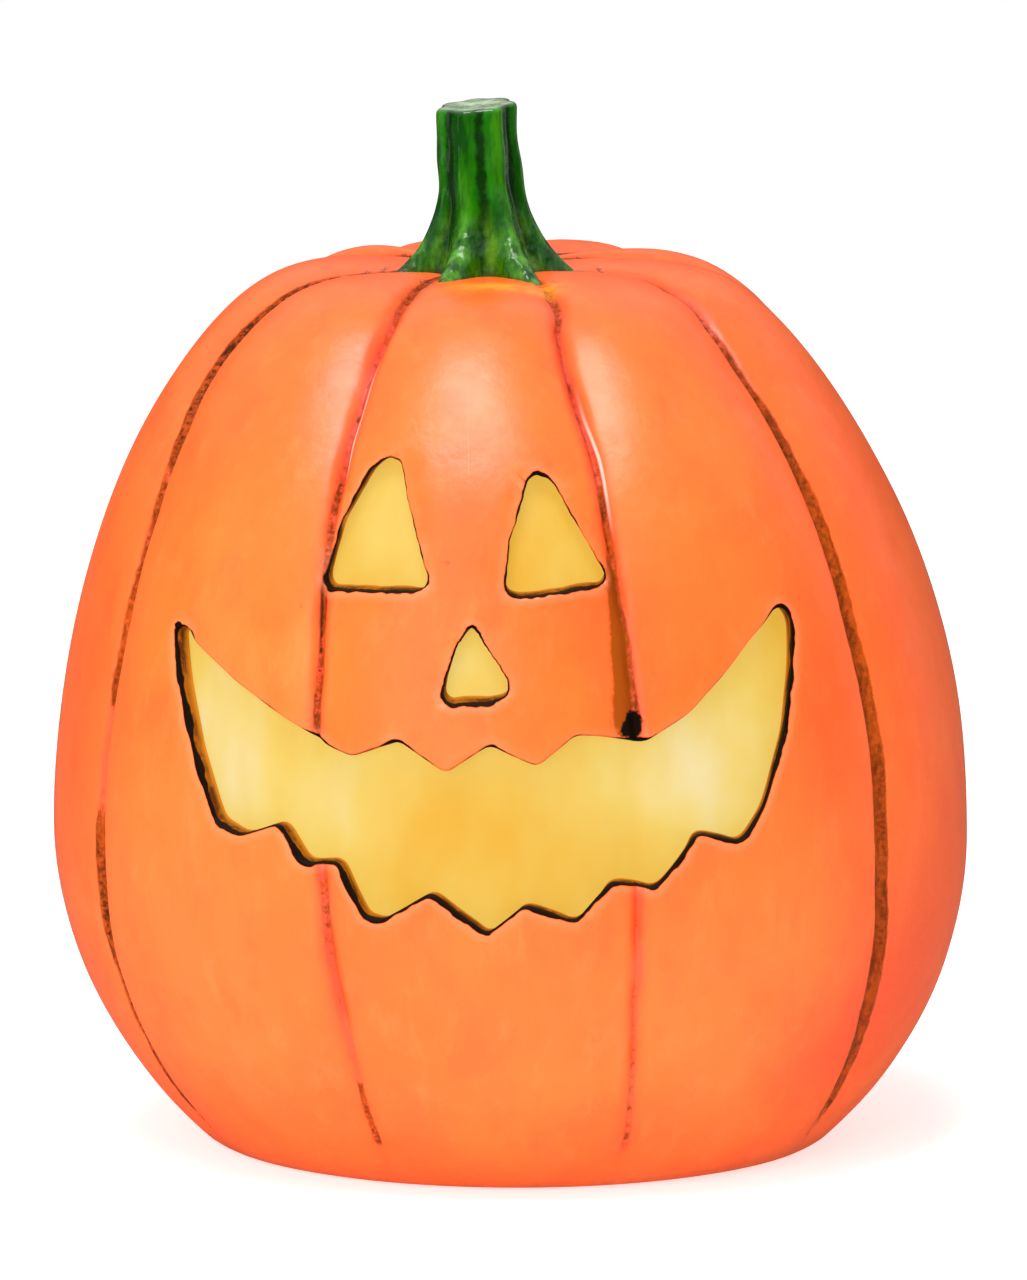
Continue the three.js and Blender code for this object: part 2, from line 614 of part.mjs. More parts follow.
const backContactY = BAY.back + CONTACT_GAP + CONTACT_THICKNESS / 2;
const frontContactY = BAY.front - CONTACT_GAP - CONTACT_THICKNESS / 2;
const CONTACTS = [
  { name: 'positive_terminal', from: 0, to: 0, y: backContactY, tab: 0 },
  { name: 'link_contact_1', from: 1, to: 2, y: backContactY },
  { name: 'link_contact_2', from: 0, to: 1, y: frontContactY },
  { name: 'negative_terminal', from: 2, to: 2, y: frontContactY, tab: 2 },
];
for (const { name, from, to, y, tab } of CONTACTS) {
  const tabX = tab === undefined ? undefined : cellX(tab);
  const geometry = contactGeometry(cellX(from) - CONTACT.halfWidth, cellX(to) + CONTACT.halfWidth, tabX);
  place(name, geometry, MATERIALS.nickel).position.set(0, y, 0);
}

// ---- Slide switch ----

const switchBottom = PLATE_INNER_TOP + MOUNTED_GAP;
const sliderRestY = SWITCH.travel / 2;

function switchBody() {
  const body = block(
    [-SWITCH.width / 2, -SWITCH.length / 2, 0],
    [SWITCH.width / 2, SWITCH.length / 2, SWITCH.height]);
  const track = block(
    [-SWITCH_TRACK.halfWidth, -SWITCH_TRACK.halfLength, -1],
    [SWITCH_TRACK.halfWidth, SWITCH_TRACK.halfLength, SWITCH_TRACK.depth]);
  return carve(body, { remove: [track] });
}

function switchSlider() {
  const stem = block(
    [-SLIDER.stemHalfWidth, -SLIDER.stemHalfLength, PLATE_BOTTOM + 2],
    [SLIDER.stemHalfWidth, SLIDER.stemHalfLength, switchBottom + 1.1]);
  const knob = block(
    [-SLIDER.knobHalfWidth, -SLIDER.knobHalfLength, PLATE_BOTTOM + 0.3],
    [SLIDER.knobHalfWidth, SLIDER.knobHalfLength, PLATE_INNER_TOP - 0.6]);
  return carve(stem, { add: [knob] });
}

place('switch_body', switchBody(), MATERIALS.switchBody).position.set(SWITCH.x, 0, switchBottom);
place('switch_slider', switchSlider(), MATERIALS.sliderPlastic).position.set(SWITCH.x, sliderRestY, 0);

// ---- Light: board, lamps, resistor and diffuser ----

const boardTop = BOARD.bottom + BOARD.thickness;

function ledBoard() {
  const holes = [-1, 1].map((side) =>
    disc(BOARD.hole, BOARD.bottom - 1, boardTop + 1, 16).translate(side * BOARD.screwX, 0, 0));
  return carve(disc(BOARD.radius, BOARD.bottom, boardTop, 32), { remove: holes });
}

function ledGeometry() {
  const domeStart = LED.length - LED.radius;
  const outline = [[0, 0], [LED.flange, 0], [LED.flange, LED.flangeDepth], [LED.radius, LED.flangeDepth]];
  for (const degrees of [0, 45, 90]) {
    const angle = radians(degrees);
    outline.push([LED.radius * Math.cos(angle), domeStart + LED.radius * Math.sin(angle)]);
  }
  outline[outline.length - 1][0] = 0;
  return turned(outline, 14);
}

function resistorGeometry() {
  const { radius, halfLength, height, lead: leadRadius } = RESISTOR;
  const body = disc(radius, -halfLength, halfLength, 10).rotateY(Math.PI / 2).translate(0, 0, height);
  const lead = wireThrough([[-3.6, 0, 0.05], [-3.3, 0, 0.9], [-2.6, 0, height], [2.6, 0, height],
    [3.3, 0, 0.9], [3.6, 0, 0.05]], leadRadius, 6, 14);
  return carve(body, { add: [lead] });
}

function diffuserDome() {
  const arc = (radius, top) => [0, 30, 60, 90].map((degrees) => {
    const angle = radians(degrees);
    return [radius * Math.cos(angle), DOME.shoulder + (top - DOME.shoulder) * Math.sin(angle)];
  });
  const outer = arc(DOME.radius, DOME.top);
  const inner = arc(DOME.radius - DOME.wall, DOME.top - DOME.wall).reverse();
  outer[outer.length - 1][0] = 0;
  inner[0][0] = 0;
  const low = bayRoofTop + 0.1;
  const shell = turned([...inner, [DOME.radius - DOME.wall, low], [DOME.radius, low], ...outer], 28);
  const notches = DOME_NOTCH.degrees.map((degrees) => block(
    [DOME.radius - 4, -DOME_NOTCH.halfWidth, low - 1],
    [DOME.radius + 3, DOME_NOTCH.halfWidth, boardTop + DOME_NOTCH.above]).rotateZ(radians(-degrees)));
  return carve(shell, { remove: notches });
}

place('led_board', ledBoard(), MATERIALS.circuitBoard);
for (let index = 0; index < LED.count; index += 1) {
  const angle = radians(90 + (360 * index) / LED.count);
  const lamp = place(`led_${index + 1}`, ledGeometry(), MATERIALS.ledLens);
  lamp.position.set(LED.ring * Math.cos(angle), LED.ring * Math.sin(angle), boardTop + MOUNTED_GAP);
}
const resistor = place('resistor', resistorGeometry(), MATERIALS.resistorBody);
resistor.position.set(0, RESISTOR.y, boardTop + MOUNTED_GAP);
[-1, 1].forEach((side, index) => {
  const screw = place(`board_screw_${index + 1}`, screwGeometry(BOARD_SCREW), MATERIALS.steel);
  screw.rotation.x = Math.PI;
  screw.position.set(side * BOARD.screwX, 0, boardTop + BOARD_SCREW.headDepth + MOUNTED_GAP);
});
place('diffuser_dome', diffuserDome(), MATERIALS.diffuser);

// ---- Wires, held inside all the way ----

const WIRES = [
  {
    name: 'wire_battery_to_switch',
    material: MATERIALS.redWire,
    steps: 26,
    points: [[-11, -26.4, 19.2], [-9, -29.2, 19.4], [0, -31.4, 18.2], [11, -31.4, 16.4],
      [20.5, -28.4, 13.6], [26, -18, 10.6], [27.8, -9, 8.9], [28, -4.7, 8.2]],
  },
  {
    name: 'wire_switch_to_board',
    material: MATERIALS.redWire,
    steps: 22,
    points: [[28, 4.7, 8.2], [28.2, 8.6, 9.4], [26.4, 11.4, 14.5], [22, 10.6, 19.8],
      [17.5, 8.2, 22], [12.2, 5.7, 22.6]],
  },
  {
    name: 'wire_battery_to_board',
    material: MATERIALS.blackWire,
    steps: 14,
    points: [[11, 23.2, 19.2], [10.6, 20.5, 20.6], [8.2, 15.6, 22.2], [5.4, 11, 22.6]],
  },
];
for (const { name, material, steps, points } of WIRES) {
  place(name, wireThrough(points, WIRE_RADIUS, 6, steps), material);
}

export default model;
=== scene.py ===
import math

import bmesh
import bpy
import numpy as np
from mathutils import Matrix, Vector, kdtree
from mathutils.bvhtree import BVHTree
from mathutils.geometry import delaunay_2d_cdt


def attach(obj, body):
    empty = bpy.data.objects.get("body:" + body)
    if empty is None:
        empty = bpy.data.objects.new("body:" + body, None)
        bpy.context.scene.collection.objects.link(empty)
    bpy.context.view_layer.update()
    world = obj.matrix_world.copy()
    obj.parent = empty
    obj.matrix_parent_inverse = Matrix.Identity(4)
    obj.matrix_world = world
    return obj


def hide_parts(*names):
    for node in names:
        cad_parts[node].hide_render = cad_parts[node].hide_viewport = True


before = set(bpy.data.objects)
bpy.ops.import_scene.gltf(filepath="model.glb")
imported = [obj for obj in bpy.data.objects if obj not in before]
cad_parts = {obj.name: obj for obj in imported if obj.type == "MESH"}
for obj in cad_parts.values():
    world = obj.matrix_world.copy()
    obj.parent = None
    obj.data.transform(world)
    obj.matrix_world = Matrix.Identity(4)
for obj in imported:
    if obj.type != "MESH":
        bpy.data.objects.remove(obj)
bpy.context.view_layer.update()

# The looks of a lighted ceramic jack-o'-lantern. Shapes are worked out in millimetres, in the
# frame of the CAD model: +Z up, the face looks along -Y, and angles are degrees round from -Y
# towards +X. MM turns them into Blender's metres.
MM = 0.001

# ---- The pumpkin's surface ----

RIB_COUNT = 9
RIB_DEGREES = 360 / RIB_COUNT
CROWN_RADIUS = 93.5          # widest radius, on the crown of a rib
WAIST_HEIGHT = 65
LOWER_HALF_HEIGHT = 87
UPPER_HALF_HEIGHT = 131
CREST_HEIGHT = 179.5         # level that the flattened top settles at
CREST_SOFTNESS = 4
DIMPLE_DEPTH = 1.6
DIMPLE_RADIUS = 20
CREST_TILT = 2 / 34
CREASE_DEPTH = {"foot": 1.0, "waist": 2.2, "shoulder": 4.2}
TO_WAIST = (8, 78)           # heights between which creases get as deep as at the waist
TO_SHOULDER = (108, 170)     # and as deep as at the shoulder
CREASE_POWER = 2.4
GROOVE_DEPTH = 1.1           # the carved line at the bottom of each crease
GROOVE_WIDTH = 1.25
GROOVE_FADE = (5, 45)        # heights between which it fades out downwards
TOP_FADE = (6, 58)           # radii between which all creases fade out towards the middle
FOOT_FADE = (0, 8)
TOP_HEIGHTS = (138, 178)     # heights between which the top starts to tilt
PULL_HEIGHTS = (138, 173)    # and to be pulled sideways, inside these radii:
PULL_RADII = (8, 50)
STEM_CENTRE = -5.9
STEM_PULL = 3.25             # how far creases swing sideways to meet at the stem

WALL = 3.2
LATITUDE_LOW = -46.5
INNER_LATITUDE_LOW = -36
# From the lowest latitude, under the foot, over the shelf for the base, to the inside floor
FOOT_OUTLINE = [
    (63.2, 1.2), (62.2, 0.7), (60.6, 0.3), (58.0, 0.0), (52.0, 0.0), (47.4, 0.0), (47.0, 0.4),
    (47.0, 5.6), (40.4, 5.6), (40.0, 6.0), (40.0, 9.0), (40.4, 9.4), (61.0, 9.4),
]
FOOT_FREE_HEIGHT = 5.0       # the foot's ribs run where those of the body are at this free height

# How far each crease strays from its even place, as (free height, degrees) points, where the free
# height is the one that a point would have if the top were not flattened. Crease 0 is at the back,
# crease 4 is left of the nose and crease 5 right of it.
CREASE_STRAY = {
    2: [(0, 0), (140, -1), (162, -8), (180, -20), (195, -34)],
    3: [(8, -1.7), (22, -1.2), (41, -0.5), (58, 0.5), (85, 0.3), (112, 1.2), (134, -0.5),
        (150, -4), (158, -8), (165, -10.5), (176, -11.5), (183, -14), (188, -17), (192, -14),
        (195, -8)],
    4: [(9, 1.8), (35, 2.0), (56, 1.0), (94, -1.0), (123, -2.0), (158, -3.0), (180, -4.2),
        (188, -6.2), (192, -10), (195, -16)],
    5: [(10, 1.5), (42, 0.0), (95, 0.5), (130, -0.2), (150, -0.5), (170, -1.8), (178, -1.2),
        (188, 4.0), (193, 14), (195, 18)],
    6: [(5, 5), (17, 1.5), (33, -1), (63, -2.2), (88, -2.3), (115, -3), (133, -2.3), (155, -1),
        (165, -0.5), (174, 1.5), (184, 8), (188, 17), (192, 24), (195, 20)],
    7: [(0, 0), (140, 0), (170, 4), (186, 16), (195, 32)],
}


def ease(value, low, high):
    """0 below low, 1 above high, and smooth between."""
    share = np.clip((value - low) / (high - low), 0.0, 1.0)
    return share * share * (3 - 2 * share)


def free_height(latitude):
    """Height of a rib's crown before the top is flattened; latitude in radians."""
    half_height = np.where(latitude < 0, LOWER_HALF_HEIGHT, UPPER_HALF_HEIGHT)
    return WAIST_HEIGHT + half_height * np.sin(latitude)


def crown_profile(latitude):
    """Radius and height of a rib's crown."""
    radius = CROWN_RADIUS * np.cos(latitude)
    free = free_height(latitude)
    flattened = free - CREST_SOFTNESS * np.log1p(np.exp((free - CREST_HEIGHT) / CREST_SOFTNESS))
    return radius, flattened - DIMPLE_DEPTH * np.exp(-((radius / DIMPLE_RADIUS) ** 2))


def crown_normal(latitude):
    step = 1e-4
    above = crown_profile(latitude + step)
    below = crown_profile(latitude - step)
    run = above[0] - below[0]
    rise = above[1] - below[1]
    length = np.hypot(run, rise)
    return rise / length, -run / length


def crease_degrees(crease, height):
    """Where a crease runs at a free height."""
    even = crease * RIB_DEGREES - 180
    ring = crease % RIB_COUNT
    if ring in CREASE_STRAY:
        heights, strays = zip(*CREASE_STRAY[ring])
        return even + np.interp(height, heights, strays)
    return even + 1.1 * np.sin(height / 31 + 2.1 * ring) + 0.5 * np.sin(height / 13 + ring)


def crease_edges(height):
    return np.stack([crease_degrees(crease, height) for crease in range(RIB_COUNT + 1)])


def edges_beside(edges, index):
    """The creases on the two sides of ribs."""
    return [np.take_along_axis(edges, side[None], 0)[0] for side in (index, index + 1)]


def rib_degrees(rib, height):
    """Degrees of a rib coordinate: whole numbers are creases, halves are crowns."""
    rib = np.asarray(rib, float)
    index = np.clip(np.floor(rib).astype(int), 0, RIB_COUNT - 1)
    left, right = edges_beside(crease_edges(np.broadcast_to(height, rib.shape)), index)
    return left + (right - left) * (rib - index)


def rib_at(degrees, height):
    """The rib coordinate at an angle: the inverse of rib_degrees."""
    degrees = np.asarray(degrees, float)
    edges = crease_edges(np.broadcast_to(height, degrees.shape))
    index = np.clip((edges <= degrees).sum(0) - 1, 0, RIB_COUNT - 1)
    left, right = edges_beside(edges, index)
    return index + (degrees - left) / (right - left)


def axis_x(height):
    """X of the body's axis, which leans a little."""
    return 1.2 * (1 - ease(height, 0, 72)) - 2.2 * ease(height, 88, 178) - 0.45


def around(degrees, radius, height):
    """Points at angles round the axis."""
    angle = np.radians(degrees)
    return np.stack([
        axis_x(height) + radius * np.sin(angle),
        -radius * np.cos(angle),
        height + 0 * angle,
    ], -1)


def crease_distance(rib, radius):
    """Distance along the surface to the nearest crease, in millimetres."""
    share = rib - np.floor(rib)
    return np.minimum(share, 1 - share) * math.radians(RIB_DEGREES) * radius


def hand_made(rib, latitude):
    """The slow unevenness of a surface shaped by hand."""
    turn = rib * 2 * math.pi / RIB_COUNT
    waves = np.sin(3 * turn + 4.1 * latitude + 0.4) + 0.8 * np.sin(7 * turn - 5.3 * latitude + 1.9)
    ripples = np.sin(13 * turn + 11 * latitude) * np.sin(9 * latitude - 4 * turn + 0.7)
    return 0.12 * waves + 0.07 * ripples


def body_point(rib, latitude, inset=0.0, carved=True):
    """Points on the body, or inset millimetres under it."""
    radius, height = crown_profile(latitude)
    radial, upward = crown_normal(latitude)
    share = rib - np.floor(rib)
    towards_crease = np.abs(2 * share - 1)
    lower = (CREASE_DEPTH["waist"] - CREASE_DEPTH["foot"]) * ease(height, *TO_WAIST)
    upper = (CREASE_DEPTH["shoulder"] - CREASE_DEPTH["waist"]) * ease(height, *TO_SHOULDER)
    depth = (CREASE_DEPTH["foot"] + lower + upper) * towards_crease ** CREASE_POWER
    if carved:
        gap = crease_distance(rib, radius)
        wander = 1 + 0.35 * np.sin(height / 5.3 + 3 * rib) + 0.25 * np.sin(height / 2.1 + 5 * rib)
        groove = GROOVE_DEPTH * wander * np.exp(-((gap / GROOVE_WIDTH) ** 2))
        depth = depth + groove * ease(height, *GROOVE_FADE) - hand_made(rib, latitude)
    depth = inset + depth * ease(radius, *TOP_FADE) * ease(height, *FOOT_FADE)
    degrees = rib_degrees(rib, free_height(latitude))
    reach = np.maximum(0, radius - depth * radial)
    pull = -STEM_PULL * (1 - ease(radius, *PULL_RADII)) * ease(height, *PULL_HEIGHTS)
    points = around(degrees, reach, height - depth * upward)
    points[..., 0] += pull
    points[..., 2] += CREST_TILT * points[..., 1] * ease(height, *TOP_HEIGHTS)
    return points


def locate(degrees, height, inset=0.0):
    """Rib coordinate and latitude of the point at an angle and a height, on the face."""
    degrees = np.asarray(degrees, float)
    height = np.broadcast_to(height, degrees.shape).astype(float)
    ratio = np.clip((height - WAIST_HEIGHT) / UPPER_HALF_HEIGHT, -0.95, 0.95)
    latitude = np.arcsin(ratio)
    step = 1e-3
    for _ in range(6):
        rib = rib_at(degrees, free_height(latitude))
        here = body_point(rib, latitude, inset, False)[..., 2]
        slope = (body_point(rib, latitude + step, inset, False)[..., 2] - here) / step
        latitude = latitude + (height - here) / slope
    return rib_at(degrees, free_height(latitude)), latitude


# ---- Cut-outs: each point is degrees round from the front, then height ----

LEFT_EYE = [
    (-20.8, 135.2), (-22.1, 124.4), (-20.8, 122.5), (-7.4, 123.3), (-6.3, 125.3),
    (-11.8, 147.3), (-14.5, 148.0), (-17.3, 144.9),
]
RIGHT_EYE = [
    (5.0, 132.9), (4.1, 123.6), (6.1, 122.1), (17.8, 124.3), (18.3, 126.6),
    (11.9, 143.9), (9.3, 145.3), (8.1, 144.0),
]
NOSE = [
    (-2.6, 112.2), (-4.3, 103.6), (-3.5, 101.7), (1.9, 102.2), (4.0, 103.7),
    (4.2, 106.6), (1.3, 113.2), (-0.5, 117.2),
]
MOUTH = [
    (-45.2, 111.4), (-44.5, 112.8), (-42.7, 113.0), (-41.2, 110.7), (-32.2, 103.1), (-24.5, 96.8),
    (-19.3, 92.6), (-15.7, 90.8), (-9.7, 94.6), (-3.7, 88.6), (1.8, 94.1), (7.6, 89.9),
    (12.4, 95.8), (15.6, 95.3), (21.6, 93.8), (27.5, 99.3), (37.3, 112.3), (42.3, 117.8),
    (44.0, 117.8), (44.9, 115.2),
    (44.2, 111.4), (40.7, 94.4), (36.4, 79.4), (33.5, 73.6), (27.6, 75.8), (22.3, 65.3),
    (16.7, 66.9), (12.1, 59.3), (5.9, 62.9), (1.4, 56.9), (-5.4, 65.1), (-11.7, 59.0),
    (-13.9, 59.4), (-17.4, 70.1), (-21.9, 69.5), (-25.4, 77.0), (-30.9, 73.9), (-34.4, 76.2),
    (-38.9, 89.4), (-43.4, 105.0),
]
CORNER_CUT = 1.5             # how far from a corner its rounding starts
OUTLINE_STEP = 0.6
FACE_RADIUS = 88             # turns degrees into millimetres when an outline is measured
FACE_SCALE = np.array([math.radians(1) * FACE_RADIUS, 1.0])
CUT_SLANT = 1.9              # right edges are cut at a slant, by this much
EYE_SLANT = 0.8              # and the left edges of the eyes and the nose by this much
FACE_STEP = 0.45             # how far lower edges step in under the rim
NOSE_STEP = 1.1
INNER_STEP = 0.15            # how far every edge steps in
CUT_WANDER = 0.05            # unevenness of the knife
CUTOUTS = [                  # outline, slant of its left edges, step of its lower edges
    (LEFT_EYE, EYE_SLANT, FACE_STEP),
    (RIGHT_EYE, EYE_SLANT, FACE_STEP),
    (NOSE, EYE_SLANT, NOSE_STEP),
    (MOUTH, 0, FACE_STEP),
]


def signed_area(points):
    x, y = points[:, 0], points[:, 1]
    return 0.5 * np.sum(x * np.roll(y, -1) - np.roll(x, -1) * y)


def rounded_outline(outline, seed):
    """The outline with rounded corners and a hand-cut unevenness, as evenly spaced points."""
    corners = np.array(outline) * FACE_SCALE
    if signed_area(corners) < 0:
        corners = corners[::-1]
    path = []
    count = len(corners)
    for i in range(count):
        before, here, after = corners[i - 1], corners[i], corners[(i + 1) % count]
        to_before, to_after = before - here, after - here
        start = here + to_before * min(0.42, CORNER_CUT / np.linalg.norm(to_before))
        end = here + to_after * min(0.42, CORNER_CUT / np.linalg.norm(to_after))
        for share in np.linspace(0, 1, 7):
            path.append((1 - share) ** 2 * start + 2 * share * (1 - share) * here + share ** 2 * end)
    path = np.array(path)
    closed = np.vstack([path, path[:1]])
    lengths = np.r_[0, np.cumsum(np.linalg.norm(np.diff(closed, axis=0), axis=1))]
    total = lengths[-1]
    number = int(total / OUTLINE_STEP)
    places = np.arange(number) * total / number
    even = np.stack([np.interp(places, lengths, closed[:, axis]) for axis in (0, 1)], -1)
    normals = outward_normals(even)
    phase = 2 * math.pi * places / total
    wander = sum(np.sin(phase * turns + seed * turns) for turns in (7, 13, 29)) * CUT_WANDER
    return (even + normals * wander[:, None]) / FACE_SCALE


def outward_normals(points):
    """Unit normals of a counter-clockwise outline, pointing out of it."""
    along = np.roll(points, -1, 0) - np.roll(points, 1, 0)
    along /= np.linalg.norm(along, axis=1, keepdims=True)
    return np.stack([along[:, 1], -along[:, 0]], -1)


def moved_outward(outline, distance):
    """A [degrees, height] outline moved outwards by millimetres."""
    points = outline * FACE_SCALE
    return (points + outward_normals(points) * np.reshape(distance, (-1, 1))) / FACE_SCALE


def smoothed(points, rounds):
    for _ in range(rounds):
        points = 0.5 * points + 0.25 * (np.roll(points, 1, 0) + np.roll(points, -1, 0))
    return points


def inside_outline(points, outline):
    """Which points lie in a closed outline."""
    x, y = points[:, 0:1], points[:, 1:2]
    x1, y1 = outline[:, 0], outline[:, 1]
    x2, y2 = np.roll(x1, -1), np.roll(y1, -1)
    spans = (y1 > y) != (y2 > y)
    rise = np.where(y2 == y1, 1e-12, y2 - y1)
    crossing = x < x1 + (y - y1) * (x2 - x1) / rise
    return (spans & crossing).sum(1) % 2 == 1


# Places on upper edges where the wash is thick too: (degrees, height, size)
RIM_BLOTS = [
    (-43.6, 111.5, 4), (43.6, 116.0, 5), (9.5, 144.6, 5), (6.3, 140.0, 3), (-18.5, 143.0, 6),
    (-0.5, 116.6, 2.5), (20.5, 94.3, 3.5), (-9.7, 95.2, 3), (2.4, 94.2, 3), (-20.2, 94.0, 3),
]


def lower_edge_share(outline):
    """1 where an outline's edge faces down or out, where the wash is thick, and 0 on top edges."""
    normals = outward_normals(outline * FACE_SCALE)
    middle = (outline[:, 0].max() + outline[:, 0].min()) / 2
    side = np.sign(outline[:, 0] - middle) * normals[:, 0]
    share = np.clip(0.2 - normals[:, 1] + 0.6 * np.clip(side, 0, 1), 0.2, 1)
    for degrees, height, size in RIM_BLOTS:
        offset = (outline - (degrees, height)) * FACE_SCALE
        share = np.maximum(share, np.exp(-((np.linalg.norm(offset, axis=1) / size) ** 2)))
    return smoothed(share, 6)


# ---- The body mesh ----

COLUMNS_PER_RIB = 44
OUTER_ROWS = 150
INNER_ROWS = 34
FACE_MARGIN = 8              # columns left out of the outer two ribs of the face patch
FACE_HEIGHTS = (47.5, 157.5)
RING_OFFSETS = (0.12, 0.3, 0.55, 0.9, 1.4, 2.1)
RING_CLEARANCE = 2.6
CREASE_CLEARANCE = 0.45
NEAR_CREASE = 2.2
INNER_CLEARANCE = 0.8
EDGE_CLEARANCE = 0.3
RIM_RADIUS = 0.5
LIP_HEIGHT = 0.28
LIP_DISTANCE = 1.25
LIP_WIDTH = 0.75
WALL_SHARES = (0.18, 0.4, 0.65, 1.0)
DOMAIN_SCALE = 60            # millimetres that a rib counts for in the flat triangulation

OUTER, CUT, INNER, FOOT = range(4)


def column_ribs():
    """Rib coordinates of the columns, closer together at the creases."""
    half = COLUMNS_PER_RIB // 2
    steps = np.arange(-half, half) / half
    across = 0.5 * (0.35 * steps + 0.65 * np.sin(steps * math.pi / 2)) + 0.5
    return np.concatenate([rib + across for rib in range(RIB_COUNT)])


def crown_lengths(low, high, count):
    """Latitudes between two, in radians, and how far along the crown's profile each one is."""
    latitudes = np.radians(np.linspace(low, high, count))
    radius, height = crown_profile(latitudes)
    return latitudes, np.r_[0, np.cumsum(np.hypot(np.diff(radius), np.diff(height)))]


PROFILE_LATITUDES, PROFILE_LENGTHS = crown_lengths(-60, 90, 4000)


def even_latitudes(low, high, count):
    """Latitudes at even distances along the crown's profile."""
    latitudes, lengths = crown_lengths(low, high, 2000)
    return np.interp(np.linspace(0, lengths[-1], count), lengths, latitudes)


def profile_length(latitude):
    """How far along the crown's profile a latitude is."""
    return np.interp(latitude, PROFILE_LATITUDES, PROFILE_LENGTHS)


def latitude_at_length(length):
    return np.interp(length, PROFILE_LENGTHS, PROFILE_LATITUDES)


def ring_quads(low, high):
    """Faces between two closed rings of vertex numbers."""
    return np.stack([low, np.roll(low, -1), np.roll(high, -1), high], -1).tolist()


def ring_fan(ring, centre):
    """Triangles from a closed ring of vertex numbers to one vertex."""
    return [[int(a), int(b), int(centre)] for a, b in zip(ring, np.roll(ring, -1))]


class Body:
    """Gathers the vertices and faces of the body, with what the paint needs to know of each."""

    def __init__(self):
        self.parts = []
        self.faces = []
        self.count = 0

    def add(self, points, rib, latitude, kind, wall=0.0):
        """Adds vertices and returns their numbers. wall is 0 at the rim of a cut-out, 1 inside."""
        number = len(points)
        self.parts.append([points] + [np.broadcast_to(v, number) for v in (rib, latitude, kind, wall)])
        self.count += number
        return np.arange(self.count - number, self.count)

    def joined(self):
        """Points, ribs, latitudes, kinds and walls of all vertices."""
        return [np.concatenate(part) for part in zip(*self.parts)]


def to_domain(rib, latitude):
    """The flat place of points on the skin: rib across and profile length up."""
    return np.stack([rib * DOMAIN_SCALE, profile_length(latitude)], -1)


def stretch(flat):
    """How many domain units across make a millimetre there."""
    radius = crown_profile(latitude_at_length(flat[:, 1]))[0]
    return DOMAIN_SCALE / (math.radians(RIB_DEGREES) * radius)


def block_edge(grid, latitudes, ribs, rows, columns):
    """The vertices round a block of the grid, counter-clockwise, with their flat places."""
    first, last = rows
    left, right = columns
    cells = [(first, column) for column in range(left, right)]
    cells += [(row, right) for row in range(first, last)]
    cells += [(last, column) for column in range(right, left, -1)]
    cells += [(row, left) for row in range(last, first, -1)]
    across, up = DOMAIN_SCALE * ribs, profile_length(latitudes)
    return [grid[cell] for cell in cells], [(across[column], up[row]) for row, column in cells]


def distance_test(loops):
    """A function that says which flat points are at least a distance away from every loop."""
    tree = kdtree.KDTree(sum(len(loop) for loop in loops))
    flat = np.vstack(loops)
    for number, ((x, y), factor) in enumerate(zip(flat, stretch(flat))):
        tree.insert((x / factor, y, 0), number)
    tree.balance()

    def clear(points, distance):
        found = [tree.find((x / f, y, 0))[2] for (x, y), f in zip(points, stretch(points))]
        return np.array(found) >= distance

    return clear


def rings_round(loop, clear):
    """Points on rings round a cut-out, denser near it."""
    across = stretch(loop)[:, None]
    shape = np.hstack([loop[:, 0:1] / across, loop[:, 1:2]])
    normals = outward_normals(shape)
    rings = []
    for number, offset in enumerate(RING_OFFSETS):
        moved = shape + normals * offset
        moved = np.hstack([moved[:, 0:1] * across, moved[:, 1:2]])
        stride = 1 if offset < 1 else 2
        moved = moved[number % stride::stride]
        rings.append(moved[clear(moved, 0.93 * offset)])
    return rings


def patch(body, grid, latitudes, ribs, rows, columns, loops, loop_ids, kind, place):
    """Fills a block of a grid round the cut-outs with triangles, made in the flat domain."""
    ids, flat = block_edge(grid, latitudes, ribs, rows, columns)
    joins = [(i, (i + 1) % len(flat)) for i in range(len(flat))]
    for loop, vertices in zip(loops, loop_ids):
        start = len(flat)
        flat.extend(map(tuple, loop))
        ids.extend(vertices)
        joins.extend((start + i, start + (i + 1) % len(loop)) for i in range(len(loop)))

    clear = distance_test(loops)
    extra = []
    across = DOMAIN_SCALE * ribs[columns[0]:columns[1] + 1]
    up = profile_length(latitudes[rows[0]:rows[1] + 1])
    inner = np.stack(np.meshgrid(across[1:-1], up[1:-1]), -1).reshape(-1, 2)
    clearance = INNER_CLEARANCE
    if kind == OUTER:
        for loop in loops:
            extra += rings_round(loop, clear)
        radius = crown_profile(latitude_at_length(inner[:, 1]))[0]
        near_crease = crease_distance(inner[:, 0] / DOMAIN_SCALE, radius) < NEAR_CREASE
        clearance = np.where(near_crease, CREASE_CLEARANCE, RING_CLEARANCE)
    extra = np.vstack(extra + [inner[clear(inner, clearance)]])
    low = np.array([across[0], up[0]])
    high = np.array([across[-1], up[-1]])
    extra = extra[((extra > low + EDGE_CLEARANCE) & (extra < high - EDGE_CLEARANCE)).all(1)]
    extra = extra[~np.any([inside_outline(extra, loop) for loop in loops], axis=0)]

    rib, latitude = extra[:, 0] / DOMAIN_SCALE, latitude_at_length(extra[:, 1])
    ids.extend(body.add(place(rib, latitude), rib, latitude, kind))
    flat.extend(map(tuple, extra))
    result = delaunay_2d_cdt([Vector(point) for point in flat], joins, [], 0, 1e-6)
    where = np.array([tuple(point) for point in result[0]])
    sources = [origin[0] if origin else -1 for origin in result[3]]
    triangles = np.array(result[2])
    middles = where[triangles].mean(1)
    inside = (middles > low).all(1) & (middles < high).all(1)
    for loop in loops:
        inside &= ~inside_outline(middles, loop)
    for triangle in triangles[inside]:
        corners = [sources[corner] for corner in triangle]
        if min(corners) < 0:
            raise ValueError("the triangulation made a vertex of its own")
        body.faces.append([int(ids[corner]) for corner in corners])


